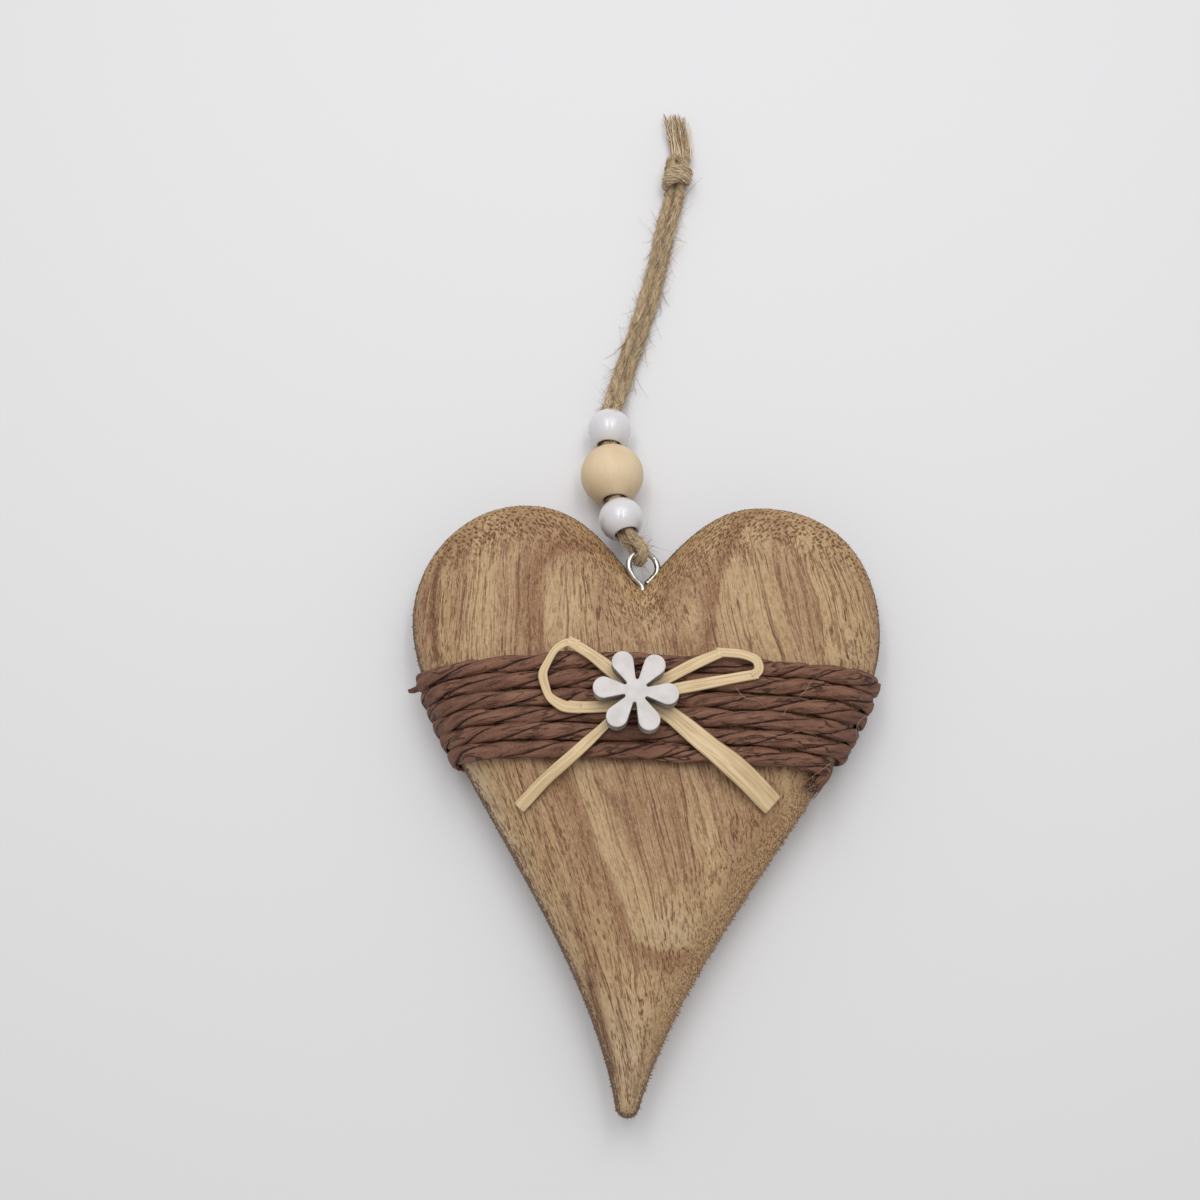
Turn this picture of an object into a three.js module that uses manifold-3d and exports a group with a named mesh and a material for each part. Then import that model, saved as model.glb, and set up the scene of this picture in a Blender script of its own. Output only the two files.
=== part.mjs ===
// A wooden heart to hang up, lying on its back on a table.
// Millimetres, +Z up. The heart's tip is at y = 0 while it is built, and its two lobes and the
// cord that it hangs from point along +Y. Its front, with the bow and the flower, looks along +Z.

import * as THREE from 'three';
import { mergeVertices } from 'three/addons/utils/BufferGeometryUtils.js';
import Module from 'manifold-3d';

const wasm = await Module();
wasm.setup();

// Heart: a slab with a domed front, a short upright side and a flat back with a rounded rim.
const heartHeight = 134.5;
const heartLeftReach = 51.8;
const heartRightReach = 54.2;
const heartThickness = 16;
const cleftDepth = 19.8;
const tipRadius = 2.5;
const domeWidth = 17;
const domeRise = 10.4;
const backRimWidth = 5;
const backRimRise = 3;

// Wrap: a twisted paper cord wound round the middle of the heart.
const wrapDiameter = 3.4;
const wrapTurns = 6;
const wrapSpace = 0.56;
const wrapGap = 0.4;
const wrapSnug = 0.25;
const bandMiddle = 83.4;
const leftDrop = 2.1;
const endDrop = 3.7;

// Bow and flower, on the front of the wrap.
const bowSpan = 47.6;
const raffiaWidth = 2.7;
const leftTailWidth = 2.3;
const rightTailWidth = 4.6;
const raffiaThickness = 0.7;
const bowKnotThickness = 1.8;
const flowerReach = 9.1;
const petalWidth = 4.2;
const flowerThickness = 4.2;
const flowerSlot = 0.8;

// Screw eye, turned into the cleft.
const eyeWire = 1.4;
const eyeRadius = 3.5;
const eyeTwist = 20;
const shankLength = 9;

// Cord and beads. The cord runs doubled, through the eye and the three beads.
const strandDiameter = 2.2;
const whiteBeadDiameter = 10.4;
const middleBeadDiameter = 14.8;
const beadSpace = 0.9;
const knotLength = 11;
const knotDiameter = 6.8;
const tailLength = 13;

// Every piece keeps this much room to the next one.
const clearance = 0.3;

// Heights of the pieces over the table, from the wrap's lowest turn up to the flower.
const tableGap = 0.4;
const backHeight = wrapDiameter + wrapGap;
const frontHeight = backHeight + heartThickness;
const shoulderHeight = frontHeight - domeRise;
const rimHeight = backHeight + backRimRise;
const wrapOffset = wrapDiameter / 2 + wrapGap;
const wrapTop = frontHeight + wrapGap + wrapDiameter;
const raffiaHeight = wrapTop + clearance + raffiaThickness / 2;
const flowerBase = wrapTop + clearance + bowKnotThickness + clearance;

// The eye sits just in front of the slab's middle, with its ring a little clear of the cleft.
const eyeLevel = 0.57;
const eyeHeight = backHeight + eyeLevel * heartThickness;
const cleftHeight = heartHeight - cleftDepth;
const eyeCentre = new THREE.Vector3(0.2, cleftHeight + 1.11 * eyeRadius, eyeHeight);

// The flower is glued a little above the middle of the band, left of the heart's axis.
const flowerCentre = new THREE.Vector2(-0.9, bandMiddle + 1.5);

// The hub is the point that every ring of the heart's surface closes in on.
const hub = new THREE.Vector2(0, 0.64 * heartHeight);


// One side of the heart's outline, from the cleft over the lobe and down to the tip.
// The lobe's crest and the widest point are joined by cubic curves with handles in shares
// of the side's own reach and height, and the tip is an arc.
function outlineSide(shape) {
  const { sign, reach, height } = shape;
  const cleft = [0, cleftHeight];
  const crest = [shape.crest * reach, height];
  const waist = [reach, shape.waist * height];
  const flank = shape.flankAngle;
  const foot = [tipRadius * Math.sin(flank), tipRadius * (1 - Math.cos(flank))];
  const leave = shape.cleftHandle * reach;
  const come = shape.footHandle * height;
  const curves = [
    [cleft, [leave * Math.cos(shape.cleftAngle), cleftHeight + leave * Math.sin(shape.cleftAngle)],
      [crest[0] - shape.crestHandles[0] * reach, height], crest],
    [crest, [crest[0] + shape.crestHandles[1] * reach, height],
      [reach, waist[1] + shape.waistHandles[0] * height], waist],
    [waist, [reach, waist[1] - shape.waistHandles[1] * height],
      [foot[0] + come * Math.cos(flank), foot[1] + come * Math.sin(flank)], foot],
  ];
  const steps = [10, 9, 13];
  const points = [];
  curves.forEach((corners, index) => {
    const curve = new THREE.CubicBezierCurve(...corners.map(([x, y]) => new THREE.Vector2(x, y)));
    points.push(...curve.getSpacedPoints(steps[index]).slice(0, -1));
  });
  for (let share = 1; share > 0; share -= 0.5) {
    const angle = share * flank;
    points.push(new THREE.Vector2(tipRadius * Math.sin(angle), tipRadius * (1 - Math.cos(angle))));
  }
  points.push(new THREE.Vector2(0, 0));
  return points.map((point) => new THREE.Vector2(sign * point.x, point.y));
}

const rightSide = outlineSide({
  sign: 1, reach: heartRightReach, height: heartHeight,
  cleftAngle: 0.82, cleftHandle: 0.19, crest: 0.51, crestHandles: [0.25, 0.31],
  waist: 0.782, waistHandles: [0.13, 0.205], flankAngle: 1.3, footHandle: 0.304,
});
const leftSide = outlineSide({
  sign: -1, reach: heartLeftReach, height: heartHeight - 1.1,
  cleftAngle: 0.83, cleftHandle: 0.205, crest: 0.513, crestHandles: [0.257, 0.277],
  waist: 0.795, waistHandles: [0.11, 0.193], flankAngle: 1.37, footHandle: 0.286,
});
const outline = [...rightSide, ...leftSide.slice(1, -1).reverse()];


// How far a point is from one side of the outline.
function distanceToSide(side, x, y) {
  let nearest = Infinity;
  for (let i = 1; i < side.length; i += 1) {
    const [a, b] = [side[i - 1], side[i]];
    const span = (b.x - a.x) ** 2 + (b.y - a.y) ** 2;
    const along = THREE.MathUtils.clamp(((x - a.x) * (b.x - a.x) + (y - a.y) * (b.y - a.y)) / span, 0, 1);
    const gap = Math.hypot(x - a.x - along * (b.x - a.x), y - a.y - along * (b.y - a.y));
    nearest = Math.min(nearest, gap);
  }
  return nearest;
}

// How far a point is inside the edge. The distances to the two sides are blended, so that
// the middle line towards the tip is a soft ridge and no crease.
function depthInside(x, y) {
  const softness = 4;
  const left = Math.max(distanceToSide(leftSide, x, y), 1e-6);
  const right = Math.max(distanceToSide(rightSide, x, y), 1e-6);
  return (left ** -softness + right ** -softness) ** (-1 / softness);
}

// Quarter ellipse: 0 at the edge, 1 from one width inwards.
function roundOver(depth, width) {
  const share = 1 - Math.min(depth / width, 1);
  return Math.sqrt(1 - share * share);
}

function frontSurface(x, y) {
  return shoulderHeight + domeRise * roundOver(depthInside(x, y), domeWidth);
}

function backSurface(x, y) {
  return rimHeight - backRimRise * roundOver(depthInside(x, y), backRimWidth);
}

// Closed skin over a row of rings, each with as many points as the next, and a fan at both ends.
function skin(rings) {
  const count = rings[0].length;
  const middle = (ring) => ring.reduce((sum, p) => sum.add(p), new THREE.Vector3()).divideScalar(count);
  const points = [...rings.flat(), middle(rings[0]), middle(rings[rings.length - 1])];
  const faces = [];
  const last = (rings.length - 1) * count;
  for (let i = 0; i < count; i += 1) {
    const next = (i + 1) % count;
    for (let start = 0; start < last; start += count) {
      faces.push([start + i, start + next, start + count + i]);
      faces.push([start + next, start + count + next, start + count + i]);
    }
    faces.push([points.length - 2, next, i]);
    faces.push([points.length - 1, last + i, last + next]);
  }
  const volume = faces.reduce((sum, [a, b, c]) => sum
    + points[a].dot(new THREE.Vector3().crossVectors(points[b], points[c])), 0);
  const outward = volume > 0 ? faces : faces.map(([a, b, c]) => [a, c, b]);
  const geometry = new THREE.BufferGeometry();
  const values = points.flatMap((p) => [p.x, p.y, p.z]);
  geometry.setAttribute('position', new THREE.Float32BufferAttribute(values, 3));
  geometry.setIndex(outward.flat());
  geometry.computeVertexNormals();
  return geometry;
}


function toManifold(geometry) {
  const plain = geometry.clone();
  plain.deleteAttribute('normal');
  plain.deleteAttribute('uv');
  const merged = mergeVertices(plain, 1e-5);
  return new wasm.Manifold(new wasm.Mesh({
    numProp: 3,
    vertProperties: new Float32Array(merged.attributes.position.array),
    triVerts: new Uint32Array(merged.index.array),
  }));
}

function fromManifold(solid) {
  const mesh = solid.getMesh();
  const geometry = new THREE.BufferGeometry();
  geometry.setAttribute('position', new THREE.Float32BufferAttribute(mesh.vertProperties, 3));
  geometry.setIndex([...mesh.triVerts]);
  geometry.computeVertexNormals();
  return geometry;
}

// A path whose steps are shared out between its listed points, so that close points in a
// tight bend get as many steps as wide ones along a straight.
class Route extends THREE.CatmullRomCurve3 {
  getUtoTmapping(u) {
    return u;
  }
}

// Round tube along points, closed at both ends.
function tube(points, diameter, steps, sides = 8) {
  const section = new THREE.Shape();
  for (let i = 0; i < sides; i += 1) {
    const angle = (i / sides) * 2 * Math.PI;
    const corner = [0.5 * diameter * Math.cos(angle), 0.5 * diameter * Math.sin(angle)];
    if (i === 0) section.moveTo(...corner);
    else section.lineTo(...corner);
  }
  return new THREE.ExtrudeGeometry(section, { steps, extrudePath: new Route(points) });
}

// Flat strip along points, its width level and square to its path. Widths run from one end
// of the strip to the other.
function strip(points, widths, thickness) {
  const route = new THREE.CatmullRomCurve3(points);
  const steps = 3 * (points.length - 1);
  const rings = [];
  for (let i = 0; i <= steps; i += 1) {
    const t = i / steps;
    const at = route.getPoint(t);
    const ahead = route.getTangent(t);
    const across = new THREE.Vector3(-ahead.y, ahead.x, 0).normalize();
    const place = t * (widths.length - 1);
    const from = Math.min(Math.floor(place), widths.length - 2);
    const half = THREE.MathUtils.lerp(widths[from], widths[from + 1], place - from) / 2;
    rings.push([[1, 1], [-1, 1], [-1, -1], [1, -1]].map(([side, face]) => at.clone()
      .addScaledVector(across, side * half)
      .add(new THREE.Vector3(0, 0, (face * thickness) / 2))));
  }
  return skin(rings);
}


// Screw eye: one bent wire. It comes up out of the wood, runs round the ring and ends
// beside its own shank. Points are in shares of the ring's radius, from the ring's centre.
function screwEye(diameter) {
  const neckEnd = -0.2 + (eyeWire + 0.25) / eyeRadius;
  const shares = [
    [0, -1.55], [-0.08, -1.3], [-0.3, -1.06], [-0.63, -0.78], [-0.92, -0.35],
    [-1, 0.08], [-0.83, 0.56], [-0.46, 0.89], [0, 1], [0.46, 0.89], [0.83, 0.56],
    [1, 0.08], [0.92, -0.35], [0.6, -0.76], [neckEnd, -1.12],
  ];
  const shankEnd = [0, -1.55 - shankLength / eyeRadius];
  const shankMiddle = [0, -1.55 - (0.4 * shankLength) / eyeRadius];
  const points = [shankEnd, shankMiddle, ...shares].map(([x, y]) => (
    new THREE.Vector3(x * eyeRadius, y * eyeRadius, 0)));
  const wire = tube(points, diameter, 2 * (points.length - 1));
  wire.rotateY(THREE.MathUtils.degToRad(eyeTwist));
  wire.translate(eyeCentre.x, eyeCentre.y, eyeCentre.z);
  return wire;
}

// The heart's skin is a row of closed rings. They start at the hub on the front, spread to
// the edge, go down the side and close in on the hub again on the back.
function heart() {
  const inwards = outline.map((point) => hub.clone().sub(point).normalize());
  const ringAt = (distance, share, surface) => outline.map((point, index) => {
    const place = point.clone().addScaledVector(inwards[index], distance);
    place.sub(hub).multiplyScalar(share).add(hub);
    return new THREE.Vector3(place.x, place.y, surface(place.x, place.y));
  });
  const inset = (degrees, width) => width * (1 - Math.cos(THREE.MathUtils.degToRad(degrees)));
  const front = [75, 60, 45, 30, 15].map((angle) => ringAt(inset(angle, domeWidth), 1, frontSurface));
  const back = [25, 50, 90].map((angle) => ringAt(inset(angle, backRimWidth), 1, backSurface));
  const level = (height) => outline.map((point) => new THREE.Vector3(point.x, point.y, height));
  const body = skin([
    ringAt(domeWidth, 0.25, frontSurface), ringAt(domeWidth, 0.65, frontSurface),
    ringAt(domeWidth, 1, frontSurface), ...front,
    level(shoulderHeight), level(rimHeight), ...back, ringAt(backRimWidth, 0.4, backSurface),
  ]);
  const room = screwEye(eyeWire + 2 * clearance);
  return fromManifold(toManifold(body).subtract(toManifold(room)));
}


// Where one side of the outline crosses a height.
function edgeAt(side, y) {
  for (let i = side.length - 1; i > 0; i -= 1) {
    const [low, high] = [side[i], side[i - 1]];
    if (y >= low.y && y <= high.y) {
      return THREE.MathUtils.mapLinear(y, low.y, high.y, low.x, high.x);
    }
  }
  return 0;
}

// A point of the wrap's middle line: over the surface, at the wrap's offset square to it.
// The place is -1 at the left edge and 1 at the right edge.
function overSurface(place, y, facing) {
  const edge = edgeAt(place < 0 ? leftSide : rightSide, y);
  const x = Math.abs(place) * edge;
  const [width, rise] = facing > 0 ? [domeWidth, domeRise] : [backRimWidth, backRimRise];
  const surface = facing > 0 ? frontSurface : backSurface;
  const nudge = 0.3;
  const inner = x - Math.sign(edge) * nudge;
  const slopeX = (depthInside(inner + nudge / 2, y) - depthInside(inner - nudge / 2, y)) / nudge;
  const slopeY = (depthInside(inner, y + nudge / 2) - depthInside(inner, y - nudge / 2)) / nudge;
  const depth = Math.abs(place) === 1 ? 0 : depthInside(x, y);
  const share = 1 - Math.min(depth / width, 1);
  const steepness = (rise * share) / (width * Math.sqrt(Math.max(1 - share * share, 1e-9)));
  const normal = new THREE.Vector3(-slopeX * steepness, -slopeY * steepness, facing).normalize();
  const height = depth === 0 ? (facing > 0 ? shoulderHeight : rimHeight) : surface(x, y);
  return new THREE.Vector3(x, y, height).addScaledVector(normal, wrapOffset);
}

// Height along the heart of one turn on its front. Turns lie closer at the edges than in the
// middle, and the last one bends down to its cut end at the right edge.
function turnOnFront(turn, place) {
  const pitch = wrapDiameter + wrapSpace;
  const count = (wrapTurns - 1) / 2 - turn;
  const middle = bandMiddle + count * pitch;
  const left = bandMiddle - leftDrop + count * (pitch - 0.75 * wrapSpace);
  const right = bandMiddle + count * (pitch - 0.5 * wrapSpace);
  const ends = place < 0 ? left : right;
  const bendFrom = 0.72;
  const bend = turn === wrapTurns - 1 ? Math.max((place - bendFrom) / (1 - bendFrom), 0) : 0;
  return THREE.MathUtils.lerp(middle, ends, place * place) - endDrop * bend * bend;
}

// The wrap: over the front from left to right, round the edge and back behind, turn by turn.
// Behind, it lies snug against the wood. Only the first and last passes stand out near the
// edges, so that the heart rests on four places far apart.
function wrapPoints() {
  const points = [];
  const edgePlaces = (width) => [0, 18, 36, 54, 72, 90].map((degrees) => (
    1 - (width / heartRightReach) * (1 - Math.cos(THREE.MathUtils.degToRad(degrees)))));
  const front = edgePlaces(domeWidth);
  const back = edgePlaces(backRimWidth).filter((place, index) => index % 2 === 0 || index === 5);
  const frontPlaces = [...front.map((p) => -p), -0.35, 0, 0.35, ...front.slice().reverse()];
  const backPlaces = [...back, 0.45, 0, -0.45, ...back.map((p) => -p).reverse()];
  for (let turn = 0; turn < wrapTurns; turn += 1) {
    frontPlaces.forEach((place) => {
      points.push(overSurface(place, turnOnFront(turn, place), 1));
    });
    const from = turnOnFront(turn, 1);
    const to = turnOnFront(turn + 1, -1);
    const behind = turn < wrapTurns - 1 ? backPlaces : backPlaces.slice(0, 1);
    const outerPass = turn === 0 || turn === wrapTurns - 2;
    behind.forEach((place) => {
      const point = overSurface(place, THREE.MathUtils.mapLinear(place, 1, -1, from, to), -1);
      const nearEdge = Math.abs(place) > 0.5;
      const onFlat = Math.abs(place) < 0.92;
      if (onFlat && !(outerPass && nearEdge)) point.z += wrapSnug;
      points.push(point);
    });
  }
  return [overSurface(-1, turnOnFront(0, -1), -1), ...points];
}

function wrapCord() {
  const points = wrapPoints();
  return tube(points, wrapDiameter, points.length - 1);
}


// Bow: two loops and two tails of flat raffia, tied in the middle. Each strip is a list of
// places in shares of the bow's span, measured from the flower's centre, with how far it is
// lifted in strip thicknesses. Loops are folded where one strip ends and the next begins.
const bowStrips = [
  { widths: [1, 1.05, 0.85], places: [[0.02, -0.01, 1], [-0.1, 0.103, 1], [-0.2, 0.18, 1], [-0.315, 0.248, 1]] },
  { widths: [0.8, 0.7, 1.05, 0.9], places: [
    [-0.29, 0.252, 1], [-0.36, 0.245, 0.9], [-0.415, 0.17, 0.7], [-0.436, 0.08, 0.5],
    [-0.41, 0.005, 0.3], [-0.36, -0.035, 0.1], [-0.26, -0.065, 0]] },
  { widths: [0.95, 1], places: [[-0.3, -0.055, 0], [-0.2, -0.055, 0], [0.02, -0.03, 0]] },
  { widths: [1, 1, 0.8], places: [[-0.02, 0.01, 1], [0.12, 0.075, 1], [0.25, 0.15, 1], [0.385, 0.215, 1]] },
  { widths: [0.8, 0.75, 0.8], places: [
    [0.36, 0.215, 1], [0.47, 0.212, 0.9], [0.545, 0.19, 0.6], [0.56, 0.135, 0.4], [0.52, 0.112, 0.2]] },
  { widths: [0.8, 0.95, 1], places: [[0.55, 0.122, 0.2], [0.4, 0.09, 0], [0.2, 0.045, 0], [-0.02, 0, 0]] },
];

function bowPoint([across, along, lift]) {
  return new THREE.Vector3(
    flowerCentre.x + across * bowSpan,
    flowerCentre.y + along * bowSpan,
    raffiaHeight + lift * raffiaThickness,
  );
}

// A tail runs level over the wrap and then slopes down beyond its last turn to the wood.
function tail(places, width) {
  const bandEdge = turnOnFront(wrapTurns - 1, 0) - wrapDiameter / 2 - clearance;
  const points = places.map(([across, along]) => bowPoint([across, along, 0]));
  const end = points[points.length - 1];
  const low = frontSurface(end.x, end.y) + raffiaThickness + 2 * clearance;
  const drop = Math.min(low - raffiaHeight, 0);
  points.forEach((point) => {
    const past = THREE.MathUtils.clamp((bandEdge - point.y) / (bandEdge - end.y), 0, 1);
    point.z += drop * past;
  });
  return strip(points, [0.8 * width, width, width], raffiaThickness);
}

function raffiaBow() {
  const strips = bowStrips.map(({ widths, places }) => strip(
    places.map(bowPoint), widths.map((share) => share * raffiaWidth), raffiaThickness));
  strips.push(tail([
    [0.01, 0], [-0.06, -0.06], [-0.14, -0.145], [-0.265, -0.27], [-0.39, -0.38], [-0.505, -0.5]],
  leftTailWidth));
  strips.push(tail([
    [0, 0], [0.06, -0.03], [0.155, -0.075], [0.315, -0.2], [0.475, -0.32], [0.63, -0.45]],
  rightTailWidth));
  const knot = new THREE.SphereGeometry(1, 16, 10);
  const knotCentre = bowPoint([0, 0, 0]);
  knot.scale(0.075 * bowSpan, 0.07 * bowSpan, bowKnotThickness / 2);
  knot.translate(knotCentre.x, knotCentre.y, wrapTop + clearance + bowKnotThickness / 2);
  return fromManifold([...strips, knot].map(toManifold).reduce((sum, next) => sum.add(next)));
}


// Flower: six rounded petals cut out of one flat piece, with a round-ended slot between two.
function flower() {
  const shape = new THREE.Shape();
  const petals = 6;
  const step = (2 * Math.PI) / petals;
  const start = THREE.MathUtils.degToRad(-4.1);
  const cap = petalWidth / 2;
  const capRadius = flowerReach - cap;
  const slotRadius = 0.31 * flowerReach;
  const lean = 0.3;
  const at = (radius, angle) => [
    flowerCentre.x + radius * Math.cos(angle), flowerCentre.y + radius * Math.sin(angle)];
  for (let i = 0; i < petals; i += 1) {
    const middle = start + i * step;
    const slot = middle + step / 2;
    shape.absarc(...at(capRadius, middle), cap, middle - Math.PI / 2 - lean, middle + Math.PI / 2 + lean);
    shape.absarc(...at(slotRadius, slot), flowerSlot / 2, slot - Math.PI / 2, slot + Math.PI / 2, true);
  }
  const geometry = new THREE.ExtrudeGeometry(shape, {
    depth: flowerThickness, bevelEnabled: false, curveSegments: 6,
  });
  geometry.translate(0, 0, flowerBase);
  return geometry;
}


// Beads on the cord. Each has its own heading, and is threaded up to its neighbour. The middle
// bead lies on the table and carries the other two on the cord.
const boreRadius = strandDiameter + 1.5 * clearance;
const beads = [
  { diameter: whiteBeadDiameter, heading: [-0.33, 1, -0.24] },
  { diameter: middleBeadDiameter, heading: [-0.13, 1, -0.15] },
  { diameter: whiteBeadDiameter, heading: [0, 1, -0.12] },
].map((bead) => ({
  ...bead,
  heading: new THREE.Vector3(...bead.heading).normalize(),
  halfLength: Math.sqrt((bead.diameter / 2) ** 2 - boreRadius ** 2),
}));
const [lowerBead, middleBead, upperBead] = beads;
const beadReach = (bead) => bead.heading.clone().multiplyScalar(bead.halfLength + beadSpace / 2);
middleBead.centre = new THREE.Vector3(-7.6, 142.7, middleBeadDiameter / 2 + tableGap);
lowerBead.centre = middleBead.centre.clone().sub(beadReach(middleBead)).sub(beadReach(lowerBead));
upperBead.centre = middleBead.centre.clone().add(beadReach(middleBead)).add(beadReach(upperBead));
const beadEnds = beads.flatMap((bead) => [-1, 1].map((end) => (
  bead.centre.clone().addScaledVector(bead.heading, end * bead.halfLength))));

// Middle line of the doubled cord, from the eye to the knot: points and the angle in degrees
// of one strand about the other, where 90 is one over the other and 0 is side by side. It runs
// straight through each bead, and lies on the table beyond them in a loose bend chosen by hand.
const flat = strandDiameter / 2 + tableGap;
const loopRadius = (eyeWire + strandDiameter) / 2 + clearance;
const eyeUp = new THREE.Vector3(0, 0, 1).applyAxisAngle(
  new THREE.Vector3(0, 1, 0), THREE.MathUtils.degToRad(eyeTwist));
const eyeTop = eyeCentre.clone().add(new THREE.Vector3(-0.22, 0.97, 0.08).multiplyScalar(eyeRadius));
const stackAngles = [90, 82, 76, 62, 56, 38];
const cordRoute = [
  [eyeTop.clone().add(new THREE.Vector3(-1.3, 2.6, -0.6)), 90],
  ...beadEnds.map((point, index) => [point, stackAngles[index]]),
  ...[
    [-7.9, 162.6, 3.4, 20], [-6.6, 167.6, 1.9, 8], [-4.3, 176.4, flat, 0], [-0.9, 188.5, flat, 0],
    [1.8, 200.8, flat, 0], [3.4, 209.9, flat, 0], [5.3, 219.3, flat + 0.3, 0],
  ].map(([x, y, z, angle]) => [new THREE.Vector3(x, y, z), angle]),
];
const knotStart = new THREE.Vector3(5.7, 221.6, flat + 0.5);
const knotHeading = new THREE.Vector3(0.15, 1, 0).normalize();
const middleLine = new THREE.CatmullRomCurve3([...cordRoute.map(([point]) => point), knotStart]);

// One strand of the pair, as points beside the middle line.
function strandPoints(side) {
  const stations = 2 * cordRoute.length;
  const points = [];
  for (let i = 0; i < stations; i += 1) {
    const t = i / stations;
    const place = t * cordRoute.length;
    const from = Math.floor(place);
    const before = cordRoute[from][1];
    const after = cordRoute[Math.min(from + 1, cordRoute.length - 1)][1];
    const angle = THREE.MathUtils.degToRad(THREE.MathUtils.lerp(before, after, place - from));
    const ahead = middleLine.getTangent(t);
    const across = new THREE.Vector3(ahead.y, -ahead.x, 0).normalize();
    const over = new THREE.Vector3().crossVectors(across, ahead);
    const offset = (side * (strandDiameter + clearance)) / 2;
    points.push(middleLine.getPoint(t)
      .addScaledVector(across, offset * Math.cos(angle))
      .addScaledVector(over, offset * Math.sin(angle)));
  }
  const end = middleLine.getPoint(1 - clearance / middleLine.getLength());
  const across = new THREE.Vector3(knotHeading.y, -knotHeading.x, 0);
  points.push(end.addScaledVector(across, (side * (strandDiameter + clearance)) / 2));
  return points;
}

// The cord goes over the ring's far wire, down through the ring and back underneath.
function hangingCord() {
  const loop = [];
  for (let degrees = 99; degrees >= -99; degrees -= 33) {
    const angle = THREE.MathUtils.degToRad(degrees);
    loop.push(eyeTop.clone()
      .add(new THREE.Vector3(0, -loopRadius * Math.cos(angle), 0))
      .addScaledVector(eyeUp, loopRadius * Math.sin(angle)));
  }
  const points = [...strandPoints(1).reverse(), ...loop, ...strandPoints(-1)];
  return tube(points, strandDiameter, points.length - 1);
}

// A round bead with a bore for both strands.
function beadBody({ diameter, halfLength, heading, centre }) {
  const radius = diameter / 2;
  const steps = 10;
  const start = Math.atan2(-halfLength, boreRadius);
  const profile = [new THREE.Vector2(boreRadius, -halfLength)];
  for (let i = 1; i < steps; i += 1) {
    const angle = start - (2 * start * i) / steps;
    profile.push(new THREE.Vector2(radius * Math.cos(angle), radius * Math.sin(angle)));
  }
  profile.push(new THREE.Vector2(boreRadius, halfLength), new THREE.Vector2(boreRadius, -halfLength));
  const geometry = new THREE.LatheGeometry(profile, 20);
  geometry.applyQuaternion(new THREE.Quaternion().setFromUnitVectors(
    new THREE.Vector3(0, 1, 0), heading));
  geometry.translate(centre.x, centre.y, centre.z);
  return geometry;
}

// Knot with its two cut ends. Its skin is a row of ovals along the cord, with three low
// swirls that turn round it like the strands of the knot, and it thins and frays to its end.
function cordKnot() {
  const across = new THREE.Vector3(knotHeading.y, -knotHeading.x, 0);
  const reach = knotDiameter / 2;
  const pair = strandDiameter + clearance / 2;
  const rows = [
    [0, pair, 0.5 * strandDiameter], [0.12, 0.8, 0.62], [0.3, 1.02, 0.9], [0.5, 1.08, 0.96],
    [0.7, 1, 0.88], [0.88, 0.74, 0.6], [1, 0.55, 0.42],
  ].map(([share, wide, high], index) => (
    [share * knotLength, index === 0 ? wide : wide * reach, index === 0 ? high : high * reach]));
  [[0.25, 0.62, 0.4], [0.5, 0.7, 0.38], [0.75, 0.78, 0.36], [1, 0.66, 0.3]].forEach(
    ([share, wide, high]) => rows.push([knotLength + share * tailLength, wide * reach, high * reach]));
  const rings = rows.map(([distance, wide, high]) => {
    const ring = [];
    const swirl = distance > 0 && distance < knotLength ? 0.1 : 0;
    const lift = Math.max(high * (1 + swirl) + tableGap, knotStart.z * Math.max(1 - distance, 0));
    for (let i = 0; i < 16; i += 1) {
      const angle = (i / 16) * 2 * Math.PI;
      const swell = 1 + swirl * Math.cos(3 * (angle + distance / 2.2));
      ring.push(new THREE.Vector3(knotStart.x, knotStart.y, lift)
        .addScaledVector(knotHeading, distance)
        .addScaledVector(across, swell * wide * Math.cos(angle))
        .add(new THREE.Vector3(0, 0, swell * high * Math.sin(angle))));
    }
    return ring;
  });
  return skin(rings);
}


const part = new THREE.Group();

function addPiece(name, geometry, color, roughness, metalness = 0) {
  const mesh = new THREE.Mesh(geometry, new THREE.MeshStandardMaterial({ color, roughness, metalness }));
  mesh.name = name;
  part.add(mesh);
}

addPiece('heart', heart(), 0xc8aa7d, 0.7);
addPiece('screw_eye', screwEye(eyeWire), 0xc9c9c9, 0.25, 1);
addPiece('wrap_cord', wrapCord(), 0x765242, 0.85);
addPiece('raffia_bow', raffiaBow(), 0xe1c896, 0.6);
addPiece('flower', flower(), 0xe8e6e4, 0.6);
addPiece('hanging_cord', hangingCord(), 0xbea073, 0.9);
addPiece('cord_knot', cordKnot(), 0xbea073, 0.9);

addPiece('bead_lower', beadBody(lowerBead), 0xd7d7de, 0.15);
addPiece('bead_middle', beadBody(middleBead), 0xe1c8a0, 0.6);
addPiece('bead_upper', beadBody(upperBead), 0xd7d7de, 0.15);

// The origin is on the table under the middle of all but the cord, its knot and its beads.
const onCord = ['hanging_cord', 'cord_knot', 'bead_lower', 'bead_middle', 'bead_upper'];
const box = new THREE.Box3();
part.children.filter((mesh) => !onCord.includes(mesh.name)).forEach((mesh) => {
  box.expandByObject(mesh, true);
});
const middle = box.getCenter(new THREE.Vector3());
part.position.set(-middle.x, -middle.y, -box.min.z);
part.updateMatrixWorld(true);

export default part;
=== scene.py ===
# %% [markdown]
# A wooden heart to hang up. A flat heart of light hardwood has a brown paper cord wound six times
# round its middle, a small raffia bow and a white flower glued on the cord, and a jute cord with
# three beads in a screw eye at its cleft. It lies on its back on a pale table.
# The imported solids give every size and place. Each piece is made again here as a finer surface.

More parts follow.
